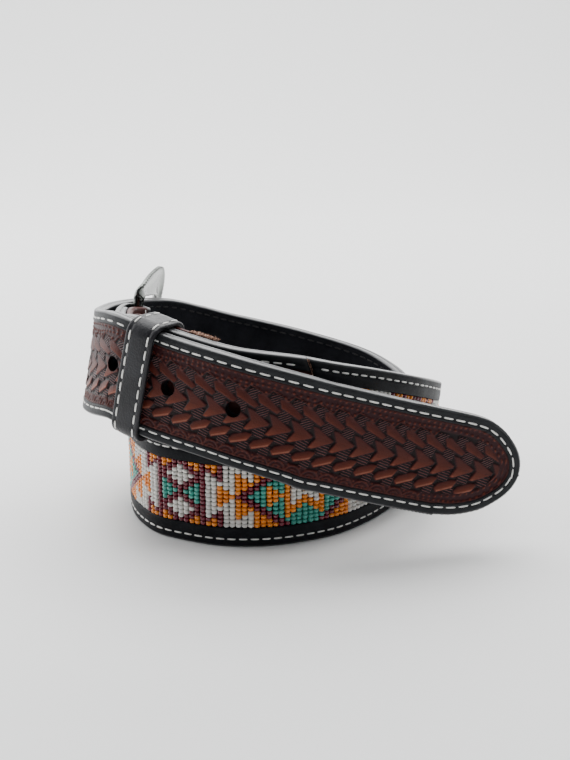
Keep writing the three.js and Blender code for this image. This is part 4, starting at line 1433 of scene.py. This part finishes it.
def build_thread_ends():
    centre, inward, up, side = keeper_axes()
    top = KEEPER_INSIDE["upper"] + KEEPER_THICKNESS
    root = centre + up * (top - 0.2) + inward * 4.5 - side * (KEEPER_WIDTH / 2 - KEEPER_STITCH_INSET)
    tail = open_curve(np.array([root, root + up * 1.1 + side * 0.1, root + up * 2.3 - side * 0.2]), 7)
    points, faces = tube(tail, np.full(7, 0.12), 6)
    add_piece("thread_end", points, faces, WHITE_THREAD)


# Stage, light and camera

CAMERA_HEIGHT = 170.5
CAMERA_TILT = 16
FOCAL_PIXELS = 1142
IMAGE_HEIGHT = 760
SENSOR = 36
STAGE_HALF_WIDTH = 3000
STAGE_FRONT = -1400
STAGE_BACK = 1500
STAGE_CURVE = 700
STAGE_TOP = 2600


def stage_material():
    material, shader = new_material("pale_paper")
    graph = Graph(material)
    spot = graph.object_coordinates()
    graph.link(graph.mix(graph.noise(spot, 6, 2), (0.86, 0.865, 0.86), (0.88, 0.88, 0.875)),
               shader.inputs["Base Color"])
    shader.inputs["Roughness"].default_value = 0.6
    shader.inputs["Specular IOR Level"].default_value = 0.2
    return material


def build_stage():
    """Pale paper that curves up from the floor into a backdrop."""
    profile = [(STAGE_FRONT, 0), (STAGE_BACK - STAGE_CURVE, 0)]
    for turn in np.linspace(0, math.pi / 2, 24)[1:]:
        depth = STAGE_BACK - STAGE_CURVE + STAGE_CURVE * math.sin(turn)
        profile.append((depth, STAGE_CURVE * (1 - math.cos(turn))))
    profile.append((STAGE_BACK, STAGE_TOP))
    points = [(x * MM, y * MM, z * MM) for y, z in profile for x in (-STAGE_HALF_WIDTH, STAGE_HALF_WIDTH)]
    faces = [(2 * row, 2 * row + 1, 2 * row + 3, 2 * row + 2) for row in range(len(profile) - 1)]
    mesh = bpy.data.meshes.new("floor")
    mesh.from_pydata(points, [], faces)
    mesh.polygons.foreach_set("use_smooth", np.ones(len(faces), dtype=bool))
    mesh.materials.append(stage_material())
    floor = bpy.data.objects.new("floor", mesh)
    bpy.context.scene.collection.objects.link(floor)


def add_area_light(name, place_at, target, size, power):
    data = bpy.data.lights.new(name, "AREA")
    data.shape = "RECTANGLE"
    data.size, data.size_y = size
    data.energy = power
    light = bpy.data.objects.new(name, data)
    light.location = place_at
    light.rotation_euler = (Vector(target) - Vector(place_at)).to_track_quat("-Z", "Y").to_euler()
    bpy.context.scene.collection.objects.link(light)


def build_lights():
    world = bpy.data.worlds.new("studio")
    world.use_nodes = True
    background = world.node_tree.nodes["Background"]
    background.inputs["Color"].default_value = (0.93, 0.97, 1.0, 1)
    background.inputs["Strength"].default_value = 0.22
    bpy.context.scene.world = world
    middle = (0, 0, 0.04)
    add_area_light("overhead", (0.05, 0.3, 1.1), middle, (1.6, 1.0), 28)
    add_area_light("left_fill", (-1.1, 0.35, 0.45), middle, (0.7, 0.9), 13)
    add_area_light("low_back", (0, 1.25, 0.66), middle, (2.6, 0.7), 20)
    add_area_light("back_wash", (0, 0.5, 1.3), (0, 1.4, 0.6), (2.0, 0.6), 6)


def build_camera():
    data = bpy.data.cameras.new("camera")
    data.sensor_fit = "VERTICAL"
    data.sensor_height = SENSOR
    data.lens = FOCAL_PIXELS / IMAGE_HEIGHT * SENSOR
    camera = bpy.data.objects.new("camera", data)
    camera.location = (-COIL_MIDDLE[0] * MM, -COIL_MIDDLE[1] * MM, CAMERA_HEIGHT * MM)
    camera.rotation_euler = (math.radians(90 - CAMERA_TILT), 0, 0)
    bpy.context.scene.collection.objects.link(camera)
    bpy.context.scene.camera = camera


build_camera()
build_stage()
build_lights()
backing = build_backing()
punch(backing, OVERLAY_THICKNESS - 0.5, STRAP_THICKNESS + 1)
build_body()
build_billet()
build_tab()
build_stitches()
build_keeper()
build_buckle_frame()
build_prong()
build_fibres()
build_seam_edges()
build_thread_ends()
